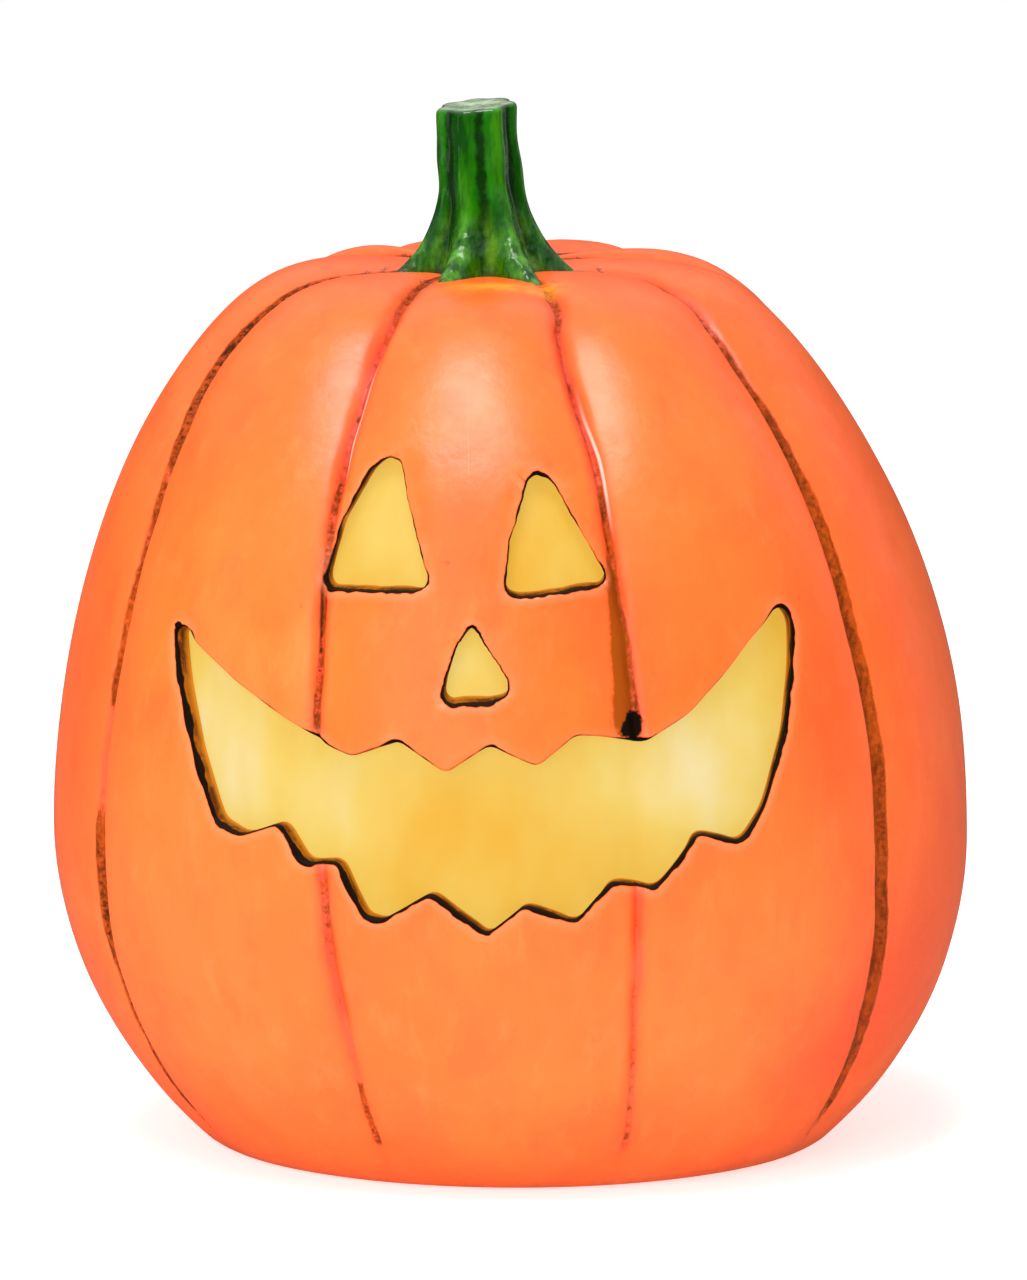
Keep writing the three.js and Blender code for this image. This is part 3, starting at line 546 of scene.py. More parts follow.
def grid_faces(body, grid, rows=(0, 0), columns=(0, 0)):
    """Faces of a grid of rings, without those in a block of rows and columns."""
    for row in range(len(grid) - 1):
        quads = ring_quads(grid[row], grid[row + 1])
        if rows[0] <= row < rows[1]:
            quads = quads[:columns[0]] + quads[columns[1]:]
        body.faces += quads


def rim_finder(edges, shares):
    """A function that gives points' distance to the nearest cut-out, and the wash's share there."""
    samples = np.vstack([body_point(rib, latitude) for rib, latitude in edges])
    sample_share = np.concatenate(shares)
    tree = kdtree.KDTree(len(samples))
    for number, point in enumerate(samples):
        tree.insert(point, number)
    tree.balance()

    def rim_of(points):
        found = [tree.find(point) for point in points]
        return np.array([hit[2] for hit in found]), sample_share[[hit[1] for hit in found]]

    return rim_of


def face_rows(latitudes):
    """The rows that the face patch spans, looked for below the flattened top."""
    heights = crown_profile(latitudes)[1]
    return np.searchsorted(heights[:len(latitudes) * 3 // 4], FACE_HEIGHTS)


def skin_grid(body, ribs, latitudes, kind, inset, carved):
    """Adds a ring of vertices at each latitude and returns their numbers."""
    grid = np.zeros((len(latitudes), len(ribs)), int)
    for row, latitude in enumerate(latitudes):
        points = body_point(ribs, np.full(len(ribs), latitude), inset, carved)
        grid[row] = body.add(points, ribs, latitude, kind)
    return grid


def wall_rings(body, outer_points, outer_ids, inner_points, rib, latitude):
    """The sides of a cut-out; returns the ring on the inner skin."""
    previous = outer_ids
    for share in WALL_SHARES:
        points = outer_points + (inner_points - outer_points) * share
        ring = body.add(points, rib, latitude, INNER if share == 1.0 else CUT, share)
        body.faces += ring_quads(previous, ring)
        previous = ring
    return previous


def build_body():
    body = Body()
    ribs = column_ribs()
    columns = (3 * COLUMNS_PER_RIB + FACE_MARGIN, 6 * COLUMNS_PER_RIB - FACE_MARGIN)
    outlines = [rounded_outline(cutout[0], seed) for seed, cutout in enumerate(CUTOUTS)]
    shares = [lower_edge_share(outline) for outline in outlines]
    edges = [locate(outline[:, 0], outline[:, 1]) for outline in outlines]
    rim_of = rim_finder(edges, shares)

    def on_face(rib, latitude):
        """The outer skin, rounded at the rim of a cut-out and raised in a lip round it."""
        distance, share = rim_of(body_point(rib, latitude))
        inside = np.clip(RIM_RADIUS - distance, 0, RIM_RADIUS)
        rounding = RIM_RADIUS - np.sqrt(RIM_RADIUS ** 2 - inside ** 2)
        bulge = np.exp(-(((distance - LIP_DISTANCE) / LIP_WIDTH) ** 2))
        return body_point(rib, latitude, rounding - LIP_HEIGHT * (0.35 + 0.65 * share) * bulge)

    def on_inside(rib, latitude):
        return body_point(rib, latitude, WALL, False)

    latitudes = even_latitudes(LATITUDE_LOW, 89.3, OUTER_ROWS)
    rows = face_rows(latitudes)
    grid = skin_grid(body, ribs, latitudes, OUTER, 0.0, True)
    grid_faces(body, grid, rows, columns)
    outer_points = [body_point(rib, latitude, RIM_RADIUS) for rib, latitude in edges]
    loop_ids = [body.add(points, *edge, CUT) for points, edge in zip(outer_points, edges)]
    loops = [to_domain(*edge) for edge in edges]
    patch(body, grid, latitudes, ribs, rows, columns, loops, loop_ids, OUTER, on_face)

    inner_latitudes = even_latitudes(INNER_LATITUDE_LOW, 88.5, INNER_ROWS)
    inner_rows = face_rows(inner_latitudes)
    inner_grid = skin_grid(body, ribs, inner_latitudes, INNER, WALL, False)
    grid_faces(body, inner_grid, inner_rows, columns)
    inner_loops, inner_loop_ids = [], []
    for number, (_, left_slant, step) in enumerate(CUTOUTS):
        across = outward_normals(outlines[number] * FACE_SCALE)[:, 0]
        slant = smoothed(np.clip(across, 0, 1) * CUT_SLANT - np.clip(across, -1, 0) * left_slant, 8)
        inner = moved_outward(outlines[number], -INNER_STEP - step * shares[number] + slant)
        inner = smoothed(inner, 3)
        inner_edge = locate(inner[:, 0], inner[:, 1], WALL)
        inner_loops.append(to_domain(*inner_edge))
        inner_loop_ids.append(wall_rings(
            body, outer_points[number], loop_ids[number], on_inside(*inner_edge), *edges[number]))
    patch(body, inner_grid, inner_latitudes, ribs, inner_rows, columns, inner_loops, inner_loop_ids,
          INNER, on_inside)

    # Foot, shelf and inside floor, then the middles of the top
    foot = np.zeros((len(FOOT_OUTLINE), len(ribs)), int)
    for row, (radius, height) in enumerate(FOOT_OUTLINE):
        points = around(rib_degrees(ribs, FOOT_FREE_HEIGHT), radius, np.full(len(ribs), height))
        foot[row] = body.add(points, ribs, math.radians(LATITUDE_LOW), FOOT)
    grid_faces(body, np.vstack([grid[0], foot, inner_grid[0]]))
    for rim in (grid[-1], inner_grid[-1]):
        middle = body.joined()[0][rim].mean(0)
        body.faces += ring_fan(rim, body.add(middle[None], 0.5, math.radians(90), INNER)[0])
    return body, rim_of


def mesh_piece(name, points, faces, sharp_degrees=None):
    """A mesh object from points in millimetres, with its faces all turned outwards."""
    mesh = bpy.data.meshes.new(name)
    mesh.from_pydata((np.asarray(points) * MM).tolist(), [], faces)
    build = bmesh.new()
    build.from_mesh(mesh)
    bmesh.ops.recalc_face_normals(build, faces=build.faces)
    build.to_mesh(mesh)
    build.free()
    mesh.shade_smooth()
    if sharp_degrees is not None:
        mesh.set_sharp_from_angle(angle=math.radians(sharp_degrees))
    piece = bpy.data.objects.new(name, mesh)
    bpy.context.scene.collection.objects.link(piece)
    return piece


def store(piece, name, values):
    """Keeps a number for each vertex, which Finish.attribute reads."""
    layer = piece.data.attributes.new(name, "FLOAT", "POINT")
    layer.data.foreach_set("value", np.asarray(values, np.float32))


# ---- Paint that follows the creases ----

# The line in each crease: (free height, brown, pink, near-black, half its width in mm) points.
# The creases at the back, which have no entry, have a brown line that comes and goes.
CREASE_LINES = {
    3: [(5, 0.3, 0.1, 0.3, 0.6), (12, 0.85, 0.1, 0.4, 1.0), (40, 0.95, 0.1, 0.4, 1.4),
        (58, 0.9, 0.15, 0.3, 2.4), (70, 0.85, 0.2, 0.2, 2.4), (80, 0.1, 0.5, 0.0, 1.2),
        (92, 0.1, 0.5, 0.0, 1.2), (96, 0.85, 0.2, 0.2, 1.4), (122, 0.85, 0.25, 0.25, 1.5),
        (140, 0.75, 0.45, 0.2, 1.9), (152, 0.9, 0.4, 0.4, 2.6), (170, 1.0, 0.35, 0.5, 2.8),
        (182, 0.9, 0.3, 0.4, 2.0), (188, 0.6, 0.3, 0.2, 1.2), (195, 0.5, 0.3, 0.2, 0.9)],
    4: [(8, 0.0, 0.1, 0.0, 0.7), (10, 0.75, 0.2, 0.2, 0.8), (22, 0.75, 0.2, 0.1, 0.8),
        (27, 0.0, 0.5, 0.0, 0.8), (44, 0.1, 0.6, 0.0, 1.0), (53, 0.5, 0.7, 0.1, 1.0),
        (70, 0.4, 0.75, 0.1, 1.2), (92, 0.6, 0.8, 0.2, 1.0), (108, 0.65, 0.8, 0.45, 0.9),
        (123, 0.85, 0.8, 0.85, 0.9), (127, 0.6, 0.85, 0.3, 0.9), (143, 0.6, 0.9, 0.3, 0.9),
        (148, 0.4, 1.0, 0.2, 0.9), (172, 0.35, 0.95, 0.15, 0.7), (186, 0.6, 0.8, 0.2, 0.8),
        (195, 0.8, 0.7, 0.4, 0.8)],
    5: [(6, 0.0, 0.1, 0.0, 0.4), (10, 0.5, 0.4, 0.0, 0.7), (35, 0.3, 0.55, 0.0, 0.8),
        (60, 0.25, 0.6, 0.0, 0.9), (92, 0.65, 0.85, 0.1, 1.0), (118, 0.75, 0.85, 0.25, 1.0),
        (138, 0.7, 0.95, 0.3, 0.9), (150, 0.4, 1.0, 0.15, 0.8), (172, 0.35, 0.9, 0.1, 0.7),
        (186, 0.6, 0.85, 0.2, 0.8), (195, 0.8, 0.8, 0.3, 0.8)],
    6: [(5, 0.3, 0.1, 0.1, 0.9), (14, 0.9, 0.1, 0.2, 1.8), (40, 1.0, 0.1, 0.2, 2.5),
        (110, 1.0, 0.1, 0.25, 2.3), (140, 1.0, 0.1, 0.35, 2.1), (158, 0.95, 0.15, 0.4, 1.6),
        (170, 0.8, 0.4, 0.25, 1.0), (180, 0.5, 0.8, 0.15, 0.8), (195, 0.5, 0.7, 0.2, 0.8)],
}
LINE_ATTRIBUTES = ("brown", "pink", "dark", "line_width")
FAR = 30                     # the distance stored where a crease or a cut-out doesn't matter


def line_amounts(crease, free):
    """The four LINE_ATTRIBUTES of points at creases and free heights."""
    amounts = np.stack([
        0.75 + 0.25 * np.sin(free / 15 + 1.7 * crease), 0.15 + 0.3 * ease(free, 120, 180),
        0.2 + 0.15 * np.sin(free / 9 + crease), 1.3 + 0.5 * np.sin(free / 21 + 2.3 * crease),
    ], -1)
    for ring, keys in CREASE_LINES.items():
        here = crease == ring
        keys = np.array(keys)
        for column in range(len(LINE_ATTRIBUTES)):
            amounts[here, column] = np.interp(free[here], keys[:, 0], keys[:, column + 1])
    return amounts


# Small nicks and specks of wash: (degrees, height, length)
MARKS = [
    (-12.9, 152.2, 0.35), (-3.9, 128.6, 0.45), (-24.6, 118.7, 1.4), (-25.2, 117.2, 1.1),
    (33.5, 70.5, 1.5), (31.5, 69.8, 0.9), (-18.6, 40.8, 1.3), (-17.9, 38.9, 1.0), (6.1, 150.0, 0.3),
    (-10.6, 88.0, 0.3), (52.0, 131.0, 0.5), (-2.0, 24.0, 0.4), (14.0, 165.0, 0.3),
]


# Soft patches on the body and the panel: painted glow, painted shade, blots of wash, the panel's
# painted glow and stains; each is (amount, degrees, height, radii along X, Y and Z)
GLOW_PATCHES = [
    (0.5, 38, 61.5, (18, 18, 24)), (0.35, -54, 69.5, (18, 18, 28)), (0.35, -32, 135, (16, 16, 20)),
    (0.2, 0, 37.5, (34, 20, 18)), (0.3, -24, 104, (12, 12, 12)),
]
# Painted shade: darker, redder patches where the body falls into shade
SHADE_PATCHES = [
    (0.5, 19, 117, (22, 16, 20)), (0.5, 48, 98, (14, 14, 26)), (0.4, -1, 138, (12, 12, 18)),
    (0.6, 66, 44, (26, 26, 28)), (0.5, 54, 26, (24, 18, 14)), (0.45, -66, 96, (16, 16, 40)),
]
BLOBS = [
    (1, 20.3, 97.4, (2.5, 4, 3.5)), (0.5, 18.0, 96.2, (1.7, 4, 1.4)),
    (1, -44.5, 112.9, (1.1, 4, 1.1)), (1, -45.3, 110.6, (0.8, 4, 0.8)),
]
# Painted glow of the panel: brighter and paler where these patches add up
BRIGHT_PATCHES = [
    (0.6, -36, 92, (13, 13, 17)), (0.35, -20, 82, (13, 13, 12)), (0.45, 33, 95, (12, 12, 18)),
    (0.4, 21, 84, (14, 13, 12)), (0.15, -14, 133, (9, 9, 14)), (0.25, 0, 109, (7, 7, 8)),
    (0.15, 0, 90, (20, 14, 7)), (-0.15, 12, 133, (9, 9, 14)),
]
PANEL_STAINS = [(1, 28.5, 102, (1.6, 3, 2.0)), (0.5, 16, 85.5, (3, 3, 1.5))]


def patches(points, spots, base=0.0):
    """The sum of soft spots, each worth its amount at its middle."""
    total = base
    for amount, degrees, height, radii in spots:
        middle = body_point(*locate(np.array([float(degrees)]), float(height)))[0]
        distance = np.linalg.norm((points - middle) / np.asarray(radii, float), axis=1)
        total = total + amount * np.exp(-(distance ** 2))
    return total


def near(values, middle, width):
    """1 where values are at the middle, falling away over the width."""
    return np.exp(-(((values - middle) / width) ** 2))


def paint_body(piece, body, rim_of):
    """Stores what the paint needs to know, as attributes that ceramic_finish reads."""
    points, ribs, latitudes, kinds, walls = body.joined()
    radius, height = crown_profile(latitudes)
    free = free_height(latitudes)
    degrees = np.degrees(np.arctan2(points[:, 0], -points[:, 1]))
    outer = (kinds == OUTER) | (kinds == FOOT)

    # Creases
    crease = np.rint(ribs).astype(int) % RIB_COUNT
    signed = (ribs - np.rint(ribs)) * math.radians(RIB_DEGREES) * radius
    wander = 0.2 * np.sin(free / 7.3 + 2 * crease) + 0.12 * np.sin(free / 2.7 + 5 * crease)
    store(piece, "crease", np.where(kinds == INNER, FAR, np.clip(signed + wander, -FAR, FAR)))
    store(piece, "apart", np.where(kinds == INNER, FAR, np.minimum(np.abs(signed), FAR)))
    for name, values in zip(LINE_ATTRIBUTES, line_amounts(crease, free).T):
        store(piece, name, values)
    spread = np.clip((130 - free) / 34, 0, 1)
    beside = 1.6 * near(signed, -0.9 - 1.6 * spread, 0.7 + 1.4 * spread)
    along = ease(free, 94, 98) * (1 - ease(free, 124, 134))
    store(piece, "brush", np.where(outer & (crease == 5), beside * along, 0))

    # Cut-outs
    rim = np.full(len(points), float(FAR))
    wash = np.zeros(len(points))
    low, high = FACE_HEIGHTS
    on_face = (np.abs(degrees) < 60) & (points[:, 2] > low - 5) & (points[:, 2] < high + 5)
    on_face &= kinds != INNER
    rim[on_face], wash[on_face] = rim_of(points[on_face])
    inner_rim = (kinds == INNER) & (walls > 0)
    wash[inner_rim] = rim_of(points[inner_rim])[1]
    rim[inner_rim | (kinds == CUT)] = 0
    store(piece, "rim", rim)
    store(piece, "wash", wash)
    store(piece, "wall", walls)

    # Round the stem
    from_stem = np.hypot(points[:, 0] - STEM_CENTRE, points[:, 1])
    top = ease(free, 172, 180)
    store(piece, "collar", np.where(outer, near(from_stem, 22, 5) * top, 0))
    yellow_arc = near(from_stem, 28, 4.5) * (1 - ease(np.abs(degrees - 4), 12, 34)) * top
    store(piece, "yellow_arc", np.where(outer, yellow_arc, 0))

    # Broad patches of painted glow and painted shade, blots of wash and small marks
    turn = np.abs(np.degrees(np.arctan2(points[:, 0] + 4, -points[:, 1])))
    # Painted glow: light given off by the surface, strongest on the front, weaker at the top, and even
    # on the inside
    front = 0.55 * (1 - ease(turn, 30, 75)) * ease(height, -5, 30) * (1 - 0.7 * ease(height, 120, 172))
    store(piece, "glow", np.where(outer, front + patches(points, GLOW_PATCHES), 0.5))
    store(piece, "painted_shade", np.where(outer, patches(points, SHADE_PATCHES), 0))
    store(piece, "blob", np.where(outer, patches(points, BLOBS), 0))
    marks = [(1, degrees, place, (0.35, 3, length)) for degrees, place, length in MARKS]
    store(piece, "mark", np.where(outer, patches(points, marks), 0))
    store(piece, "height", height)


# ---- Node materials ----

LIGHT_LEVEL = 1.45           # how much brighter than its own colour a surface in front looks


def rgb(red, green, blue):
    """A colour given in sRGB steps of 0 to 255, as the linear one that nodes use."""
    values = [channel / 255 for channel in (red, green, blue)]
    linear = [v / 12.92 if v <= 0.04045 else ((v + 0.055) / 1.055) ** 2.4 for v in values]
    return (*linear, 1.0)


def seen(red, green, blue):
    """The paint that looks like this colour in the photo's bright light."""
    return (*(channel / LIGHT_LEVEL for channel in rgb(red, green, blue)[:3]), 1.0)


class Number:
    """A number in a node tree. Sums and products of numbers are Math nodes."""

    def __init__(self, owner, socket):
        self.owner = owner
        self.socket = socket

    def __add__(self, other):
        return self.owner.math("ADD", self, other)

    def __radd__(self, other):
        return self.owner.math("ADD", other, self)

    def __sub__(self, other):
        return self.owner.math("SUBTRACT", self, other)

    def __rsub__(self, other):
        return self.owner.math("SUBTRACT", other, self)

    def __mul__(self, other):
        return self.owner.math("MULTIPLY", self, other)

    def __abs__(self):
        return self.owner.math("ABSOLUTE", self)


class NodeTree:
    """Short calls for the nodes used here. Inputs are given by name or number."""

    def __init__(self, tree):
        self.tree = tree

    def node(self, kind, inputs=None, **settings):
        node = self.tree.nodes.new("ShaderNode" + kind)
        for name, value in settings.items():
            setattr(node, name, value)
        for name, value in (inputs or {}).items():
            self.feed(node.inputs[name], value)
        return node

    def feed(self, socket, value):
        if isinstance(value, Number):
            value = value.socket
        if isinstance(value, bpy.types.NodeSocket):
            self.tree.links.new(value, socket)
        else:
            socket.default_value = value

    def number(self, kind, inputs, output=0, **settings):
        return Number(self, self.node(kind, inputs, **settings).outputs[output])

    def math(self, operation, first, second=0.0):
        return self.number("Math", {0: first, 1: second}, operation=operation)

    def most(self, first, *others):
        """The largest of some numbers."""
        for other in others:
            first = self.math("MAXIMUM", first, other)
        return first

    def blend(self, amount, first, second):
        """Between two numbers."""
        return self.number("Mix", {0: amount, 2: first, 3: second}, data_type="FLOAT")

    def span(self, value, low, high, start=0.0, end=1.0):
        """start below low, end above high, and eased between."""
        inputs = {"Value": value, "From Min": low, "From Max": high, "To Min": start, "To Max": end}
        return self.number("MapRange", inputs, interpolation_type="SMOOTHSTEP")


class Finish(NodeTree):
    """One material's node tree."""

    def __init__(self, name, **sockets):
        self.material = bpy.data.materials.new(name)
        self.material.use_nodes = True
        super().__init__(self.material.node_tree)
        self.shader = self.tree.nodes["Principled BSDF"]
        self.place = self.node("TexCoord").outputs["Object"]
        self.colour = None
        for socket, value in sockets.items():
            self.set(socket.replace("_", " "), value)

    def set(self, socket, value):
        self.feed(self.shader.inputs[socket], value)

    def mix(self, amount, first, second):
        """Between two colours."""
        return self.node("Mix", {0: amount, 6: first, 7: second}, data_type="RGBA").outputs[2]

    def paint(self, amount, colour):
        """Lays a colour over what is painted so far, as thick as the amount says."""
        self.colour = self.mix(amount, self.colour, colour)

    def noise(self, size, detail=3.0, roughness=0.55, stretch=(1, 1, 1), offset=(0, 0, 0)):
        """Noise with features of about size millimetres, 0 to 1 around a half."""
        place = {"Vector": self.place, "Scale": stretch, "Location": offset}
        inputs = {
            "Vector": self.node("Mapping", place).outputs[0], "Scale": 1 / (size * MM),
            "Detail": detail, "Roughness": roughness}
        return self.number("TexNoise", inputs, "Fac")

    def attribute(self, name):
        return self.number("Attribute", {}, "Fac", attribute_name=name, attribute_type="GEOMETRY")

    def bump(self, height, strength, distance_mm):
        inputs = {"Height": height, "Strength": strength, "Distance": distance_mm * MM}
        return self.node("Bump", inputs).outputs[0]


def ceramic_finish():
    """Satin orange paint on ceramic, a brown wash in the creases and round the cut-outs, painted shade
    in soft patches, painted highlights on crease and cut-out lips, and a painted glow given off as
    emission.
    """
    f = Finish("orange_ceramic")
    fine = f.noise(9, 4)
    speck = f.noise(1.1, 4, 0.65)
    ragged = f.noise(2.2, 4, 0.7)
    streak = f.noise(3.2, 4, 0.7, (1, 1, 0.28))

    f.colour = f.mix(f.span(f.noise(45, 3), 0.35, 0.65), rgb(247, 94, 24), rgb(250, 102, 30))
    smudge = f.span(f.noise(13, 5, 0.65, (1, 1, 0.6)), 0.45, 0.68)
    f.paint(smudge * 0.5, rgb(244, 84, 24))
    strokes = f.span(f.noise(5, 4, 0.7, (1, 1, 0.35), (0.3, 0, 0)), 0.5, 0.72)
    f.paint(strokes * 0.25, rgb(250, 122, 60))
    # Painted shade: darker red in soft patches
    f.paint(f.span(f.attribute("painted_shade"), 0.0, 1.0, 0.0, 0.8), rgb(228, 64, 18))

    # Wash in the creases: a soft red band, part red airbrush and part painted shade, a pink line, a
    # ragged brown one, near-black left of it, and a painted highlight on the right lip of the inner
    # creases
    # The signed distance is sharp at a crease but jumps on a crown, where the unsigned one holds
    signed = f.attribute("crease")
    beyond_crown = f.attribute("apart") - 3.0
    gap = f.most(abs(signed), beyond_crown)
    width = f.attribute("line_width")
    past_line = gap + (ragged - 0.5) * 1.5 - width
    pink = f.attribute("pink")
    # The soft red band: red airbrush and painted shade down the crease
    f.paint(f.span(gap, 0.5, 3.6, 1, 0) * (pink * 0.6), rgb(226, 62, 26))
    f.paint(f.span(past_line, -0.4, 0.5, 1, 0) * (pink * 0.8), rgb(184, 58, 40))
    patchy = f.span(ragged + f.attribute("brown") * 0.6, 0.66, 0.96)
    brown_mask = f.span(past_line, -0.35, 0.3, 1, 0) * patchy
    brown_paint = f.mix(f.span(streak, 0.4, 0.62), rgb(104, 42, 1), rgb(152, 62, 4))
    f.paint(brown_mask * f.span(speck, 0.38, 0.6, 0.72, 1.0), brown_paint)
    dark_edge = f.most(abs(signed + width * 0.55), beyond_crown) - width * 0.3
    dark_patch = f.span(speck + f.attribute("dark") * 0.55, 0.66, 0.92)
    f.paint(f.span(dark_edge, -0.3, 0.25, 1, 0) * dark_patch, seen(60, 24, 4))
    # Painted highlight: a pale line on the right lip of the inner creases
    crease_highlight = f.span(abs(signed - 1.0), 0.1, 0.4, 1, 0) * f.span(pink, 0.92, 1.0)
    f.paint(crease_highlight * 0.8, rgb(252, 190, 176))

    # Round the stem: a yellower arc along the front of the top, with brown scribbles in it
    f.paint(f.attribute("yellow_arc") * f.span(streak, 0.38, 0.6, 0.3, 0.9), rgb(255, 158, 34))
    scribble = abs(f.noise(4.5, 4, 0.6, (1, 1, 1), (0.1, 0, 0)) - 0.5)
    scribble = f.span(scribble, 0.006, 0.03, 1, 0) * f.span(f.attribute("collar"), 0.3, 0.8)
    f.paint(scribble * f.span(gap, 1.0, 5.0, 1, 0) * 0.85, seen(96, 40, 8))

    # A dry brush stroke of golden brown, and small nicks
    stroke = f.attribute("brush") * f.span(streak, 0.25, 0.6, 0.55, 1.0)
    stroke = f.span(stroke + (speck + ragged) * 0.4, 0.5, 1.1)
    f.paint(stroke * 0.92, rgb(128, 58, 1))
    f.paint(f.span(f.attribute("mark") + speck * 0.6, 0.75, 0.95) * 0.7, seen(176, 70, 26))

    # Round the cut-outs: near-black on the edge, brown with dark streaks in the cut itself, turning
    # lighter deeper in as painted glow from the panel, and a painted highlight on the lip round them
    wash = f.attribute("wash")
    wall = f.attribute("wall")
    flowing = f.noise(6, 2)
    beyond = f.attribute("rim") - (0.12 + wash * f.span(flowing, 0.35, 0.65, 0.3, 0.8))
    on_edge = f.span(beyond, -0.12, 0.12, 1, 0)
    f.paint(on_edge * f.span(wash + flowing, 0.45, 0.85), seen(18, 8, 2))
    cut = f.span(wall, 0.001, 0.02)
    cut_colour = f.mix(f.span(streak, 0.4, 0.62), seen(96, 44, 4), seen(168, 92, 10))
    # Painted glow from the panel: the wall turns lighter orange deeper in
    cut_colour = f.mix(f.span(wall, 0.5, 1.0), cut_colour, seen(206, 128, 30))
    top_cut = f.mix(f.span(streak, 0.42, 0.6), seen(190, 100, 20), seen(226, 150, 56))
    cut_colour = f.mix(f.span(wash, 0.25, 0.6), top_cut, cut_colour)
    black_reach = wash * f.span(flowing, 0.35, 0.65, 0.16, 0.42)
    cut_colour = f.mix(f.span(wall - black_reach, -0.04, 0.06, 1, 0), cut_colour, seen(18, 8, 2))
    f.paint(cut, cut_colour)
    # Painted highlight: pale pink on the raised lip round the cut-outs
    lip = f.span(beyond, 0.2, 2.2, 1, 0) * f.span(beyond, 0.0, 0.3) * (wash * (1.0 - cut))
    f.paint(lip * 0.25, rgb(250, 140, 100))

    # Blots of wash where a crease meets the mouth, and at the mouth's left tip
    blot = f.span(f.attribute("blob") + speck * 0.5, 0.68, 0.84)
    f.paint(blot, seen(22, 10, 4))

    # A thin brown line where the foot meets the table
    low = f.span(f.attribute("height"), 0.5, 6.0, 1, 0)
    f.paint(low * f.span(ragged, 0.3, 0.7, 0.25, 0.5), seen(196, 100, 40))

    washed = f.most(brown_mask, cut, on_edge, blot, stroke)
    f.set("Base Color", f.colour)
    f.set("Roughness", f.blend(washed, f.span(fine, 0.3, 0.7, 0.34, 0.42), 0.6))
    f.set("Specular IOR Level", f.blend(washed, 0.5, 0.08))
    # Painted glow: the surface gives off light in its own painted colour
    f.set("Emission Color", f.colour)
    f.set("Emission Strength", f.attribute("glow") * 0.6)
    relief = fine + f.noise(4, 4, 0.6, (1, 1, 0.45)) * 0.3 + speck * 0.14
    f.set("Normal", f.bump(relief, 0.5, 0.5))
    return f.material


def panel_finish():
    """Translucent warm-yellow panel, its glow from behind painted in as emission, brighter in soft
    patches.
    """
    f = Finish("yellow_panel", Roughness=0.5, Specular_IOR_Level=0.2)
    cloudy = f.noise(20, 3, 0.5, (1.2, 1, 0.7))
    bands = f.noise(7, 3, 0.5, (1.3, 1, 0.22))
    grain = f.noise(1.6, 4, 0.6)
    # Painted glow: brighter, paler yellow where the stored patches and the clouds add up
    amount = f.attribute("bright") + (cloudy - 0.5) * 0.9
    f.colour = f.mix(f.span(amount, 0.0, 0.75), rgb(247, 185, 48), rgb(250, 220, 112))
    f.paint(f.span(amount, 0.52, 1.1), rgb(252, 238, 188))
    f.paint(f.span(bands, 0.4, 0.8) * 0.14, rgb(242, 186, 76))
    stain = f.span(f.attribute("stain") + grain * 0.5, 0.7, 1.1)
    f.paint(stain * 0.75, rgb(206, 140, 52))
    # The panel's own colour is kept dark; its look comes from the painted glow
    f.set("Base Color", f.mix(0.9, f.colour, rgb(70, 46, 10)))
    f.set("Emission Color", f.colour)
    f.set("Emission Strength", 0.74)
    f.set("Normal", f.bump(cloudy + grain * 0.1, 0.3, 0.8))
    return f.material


def stem_finish():
    """Glossy green paint, dark in the grooves, with a painted highlight on the ridges and a pale
    painted sheen on the cut top.
    """
    f = Finish("green_glaze", Specular_IOR_Level=0.1, Coat_Weight=0.45, Coat_Roughness=0.03)
    flow = f.noise(5, 4, 0.6, (1, 1, 0.25))
    flake = f.noise(2.2, 4, 0.7)
    ridge = f.attribute("ridge")
    flare = f.attribute("flare")
    f.colour = f.mix(f.span(flow, 0.35, 0.7), seen(8, 72, 0), seen(34, 128, 0))
    # Painted highlight on the ridges, stronger in the flare
    light = f.span(ridge, 0.5, 1.0) * f.span(flow, 0.4, 0.7) * f.blend(flare, 0.3, 0.8)
    f.paint(light, seen(104, 190, 30))
    groove = f.span(ridge + (flake - 0.5) * 0.5, 0.02, 0.4, 1, 0)
    f.paint(groove * f.blend(flare, 0.92, 0.4), seen(4, 38, 0))
    golden = flare * f.span(ridge, 0.1, 0.8, 1, 0.2) * 0.6
    f.paint(golden * f.span(flow, 0.35, 0.65), seen(122, 176, 24))
    # Pale painted sheen on the cut top
    f.paint(f.attribute("cut") * f.span(flake, 0.3, 0.6, 0.5, 0.95), seen(206, 230, 188))
    f.paint(f.attribute("root") * f.span(flake, 0.4, 0.6) * 0.8, seen(60, 52, 8))
    f.set("Base Color", f.colour)
    f.set("Roughness", f.span(flake, 0.35, 0.7, 0.1, 0.22))
    relief = f.noise(3.6, 2, 0.5, (1, 1, 0.6)) + flake * 0.16 + f.noise(0.8, 3) * 0.02
    bumped = f.bump(relief, f.blend(flare, 0.15, 0.8), 1.5)
    f.set("Normal", bumped)
    f.set("Coat Normal", bumped)
    return f.material


def moulded_finish(name, dark, light, roughness=0.5):
    """Moulded plastic with a fine spark-eroded texture and faint scuffs."""
    f = Finish(name, Specular_IOR_Level=0.45)
    scuff = f.noise(6, 5, 0.75, (0.3, 2.2, 1))
    f.colour = f.mix(f.span(f.noise(16, 3), 0.35, 0.65), dark, light)
    f.paint(f.span(scuff, 0.62, 0.75) * 0.3, tuple(min(1, channel * 2.2) for channel in light))
    f.set("Base Color", f.colour)
    f.set("Roughness", f.span(scuff, 0.3, 0.7, roughness - 0.08, roughness + 0.1))
    f.set("Normal", f.bump(f.noise(0.45, 3, 0.6), 0.35, 0.12))
    return f.material


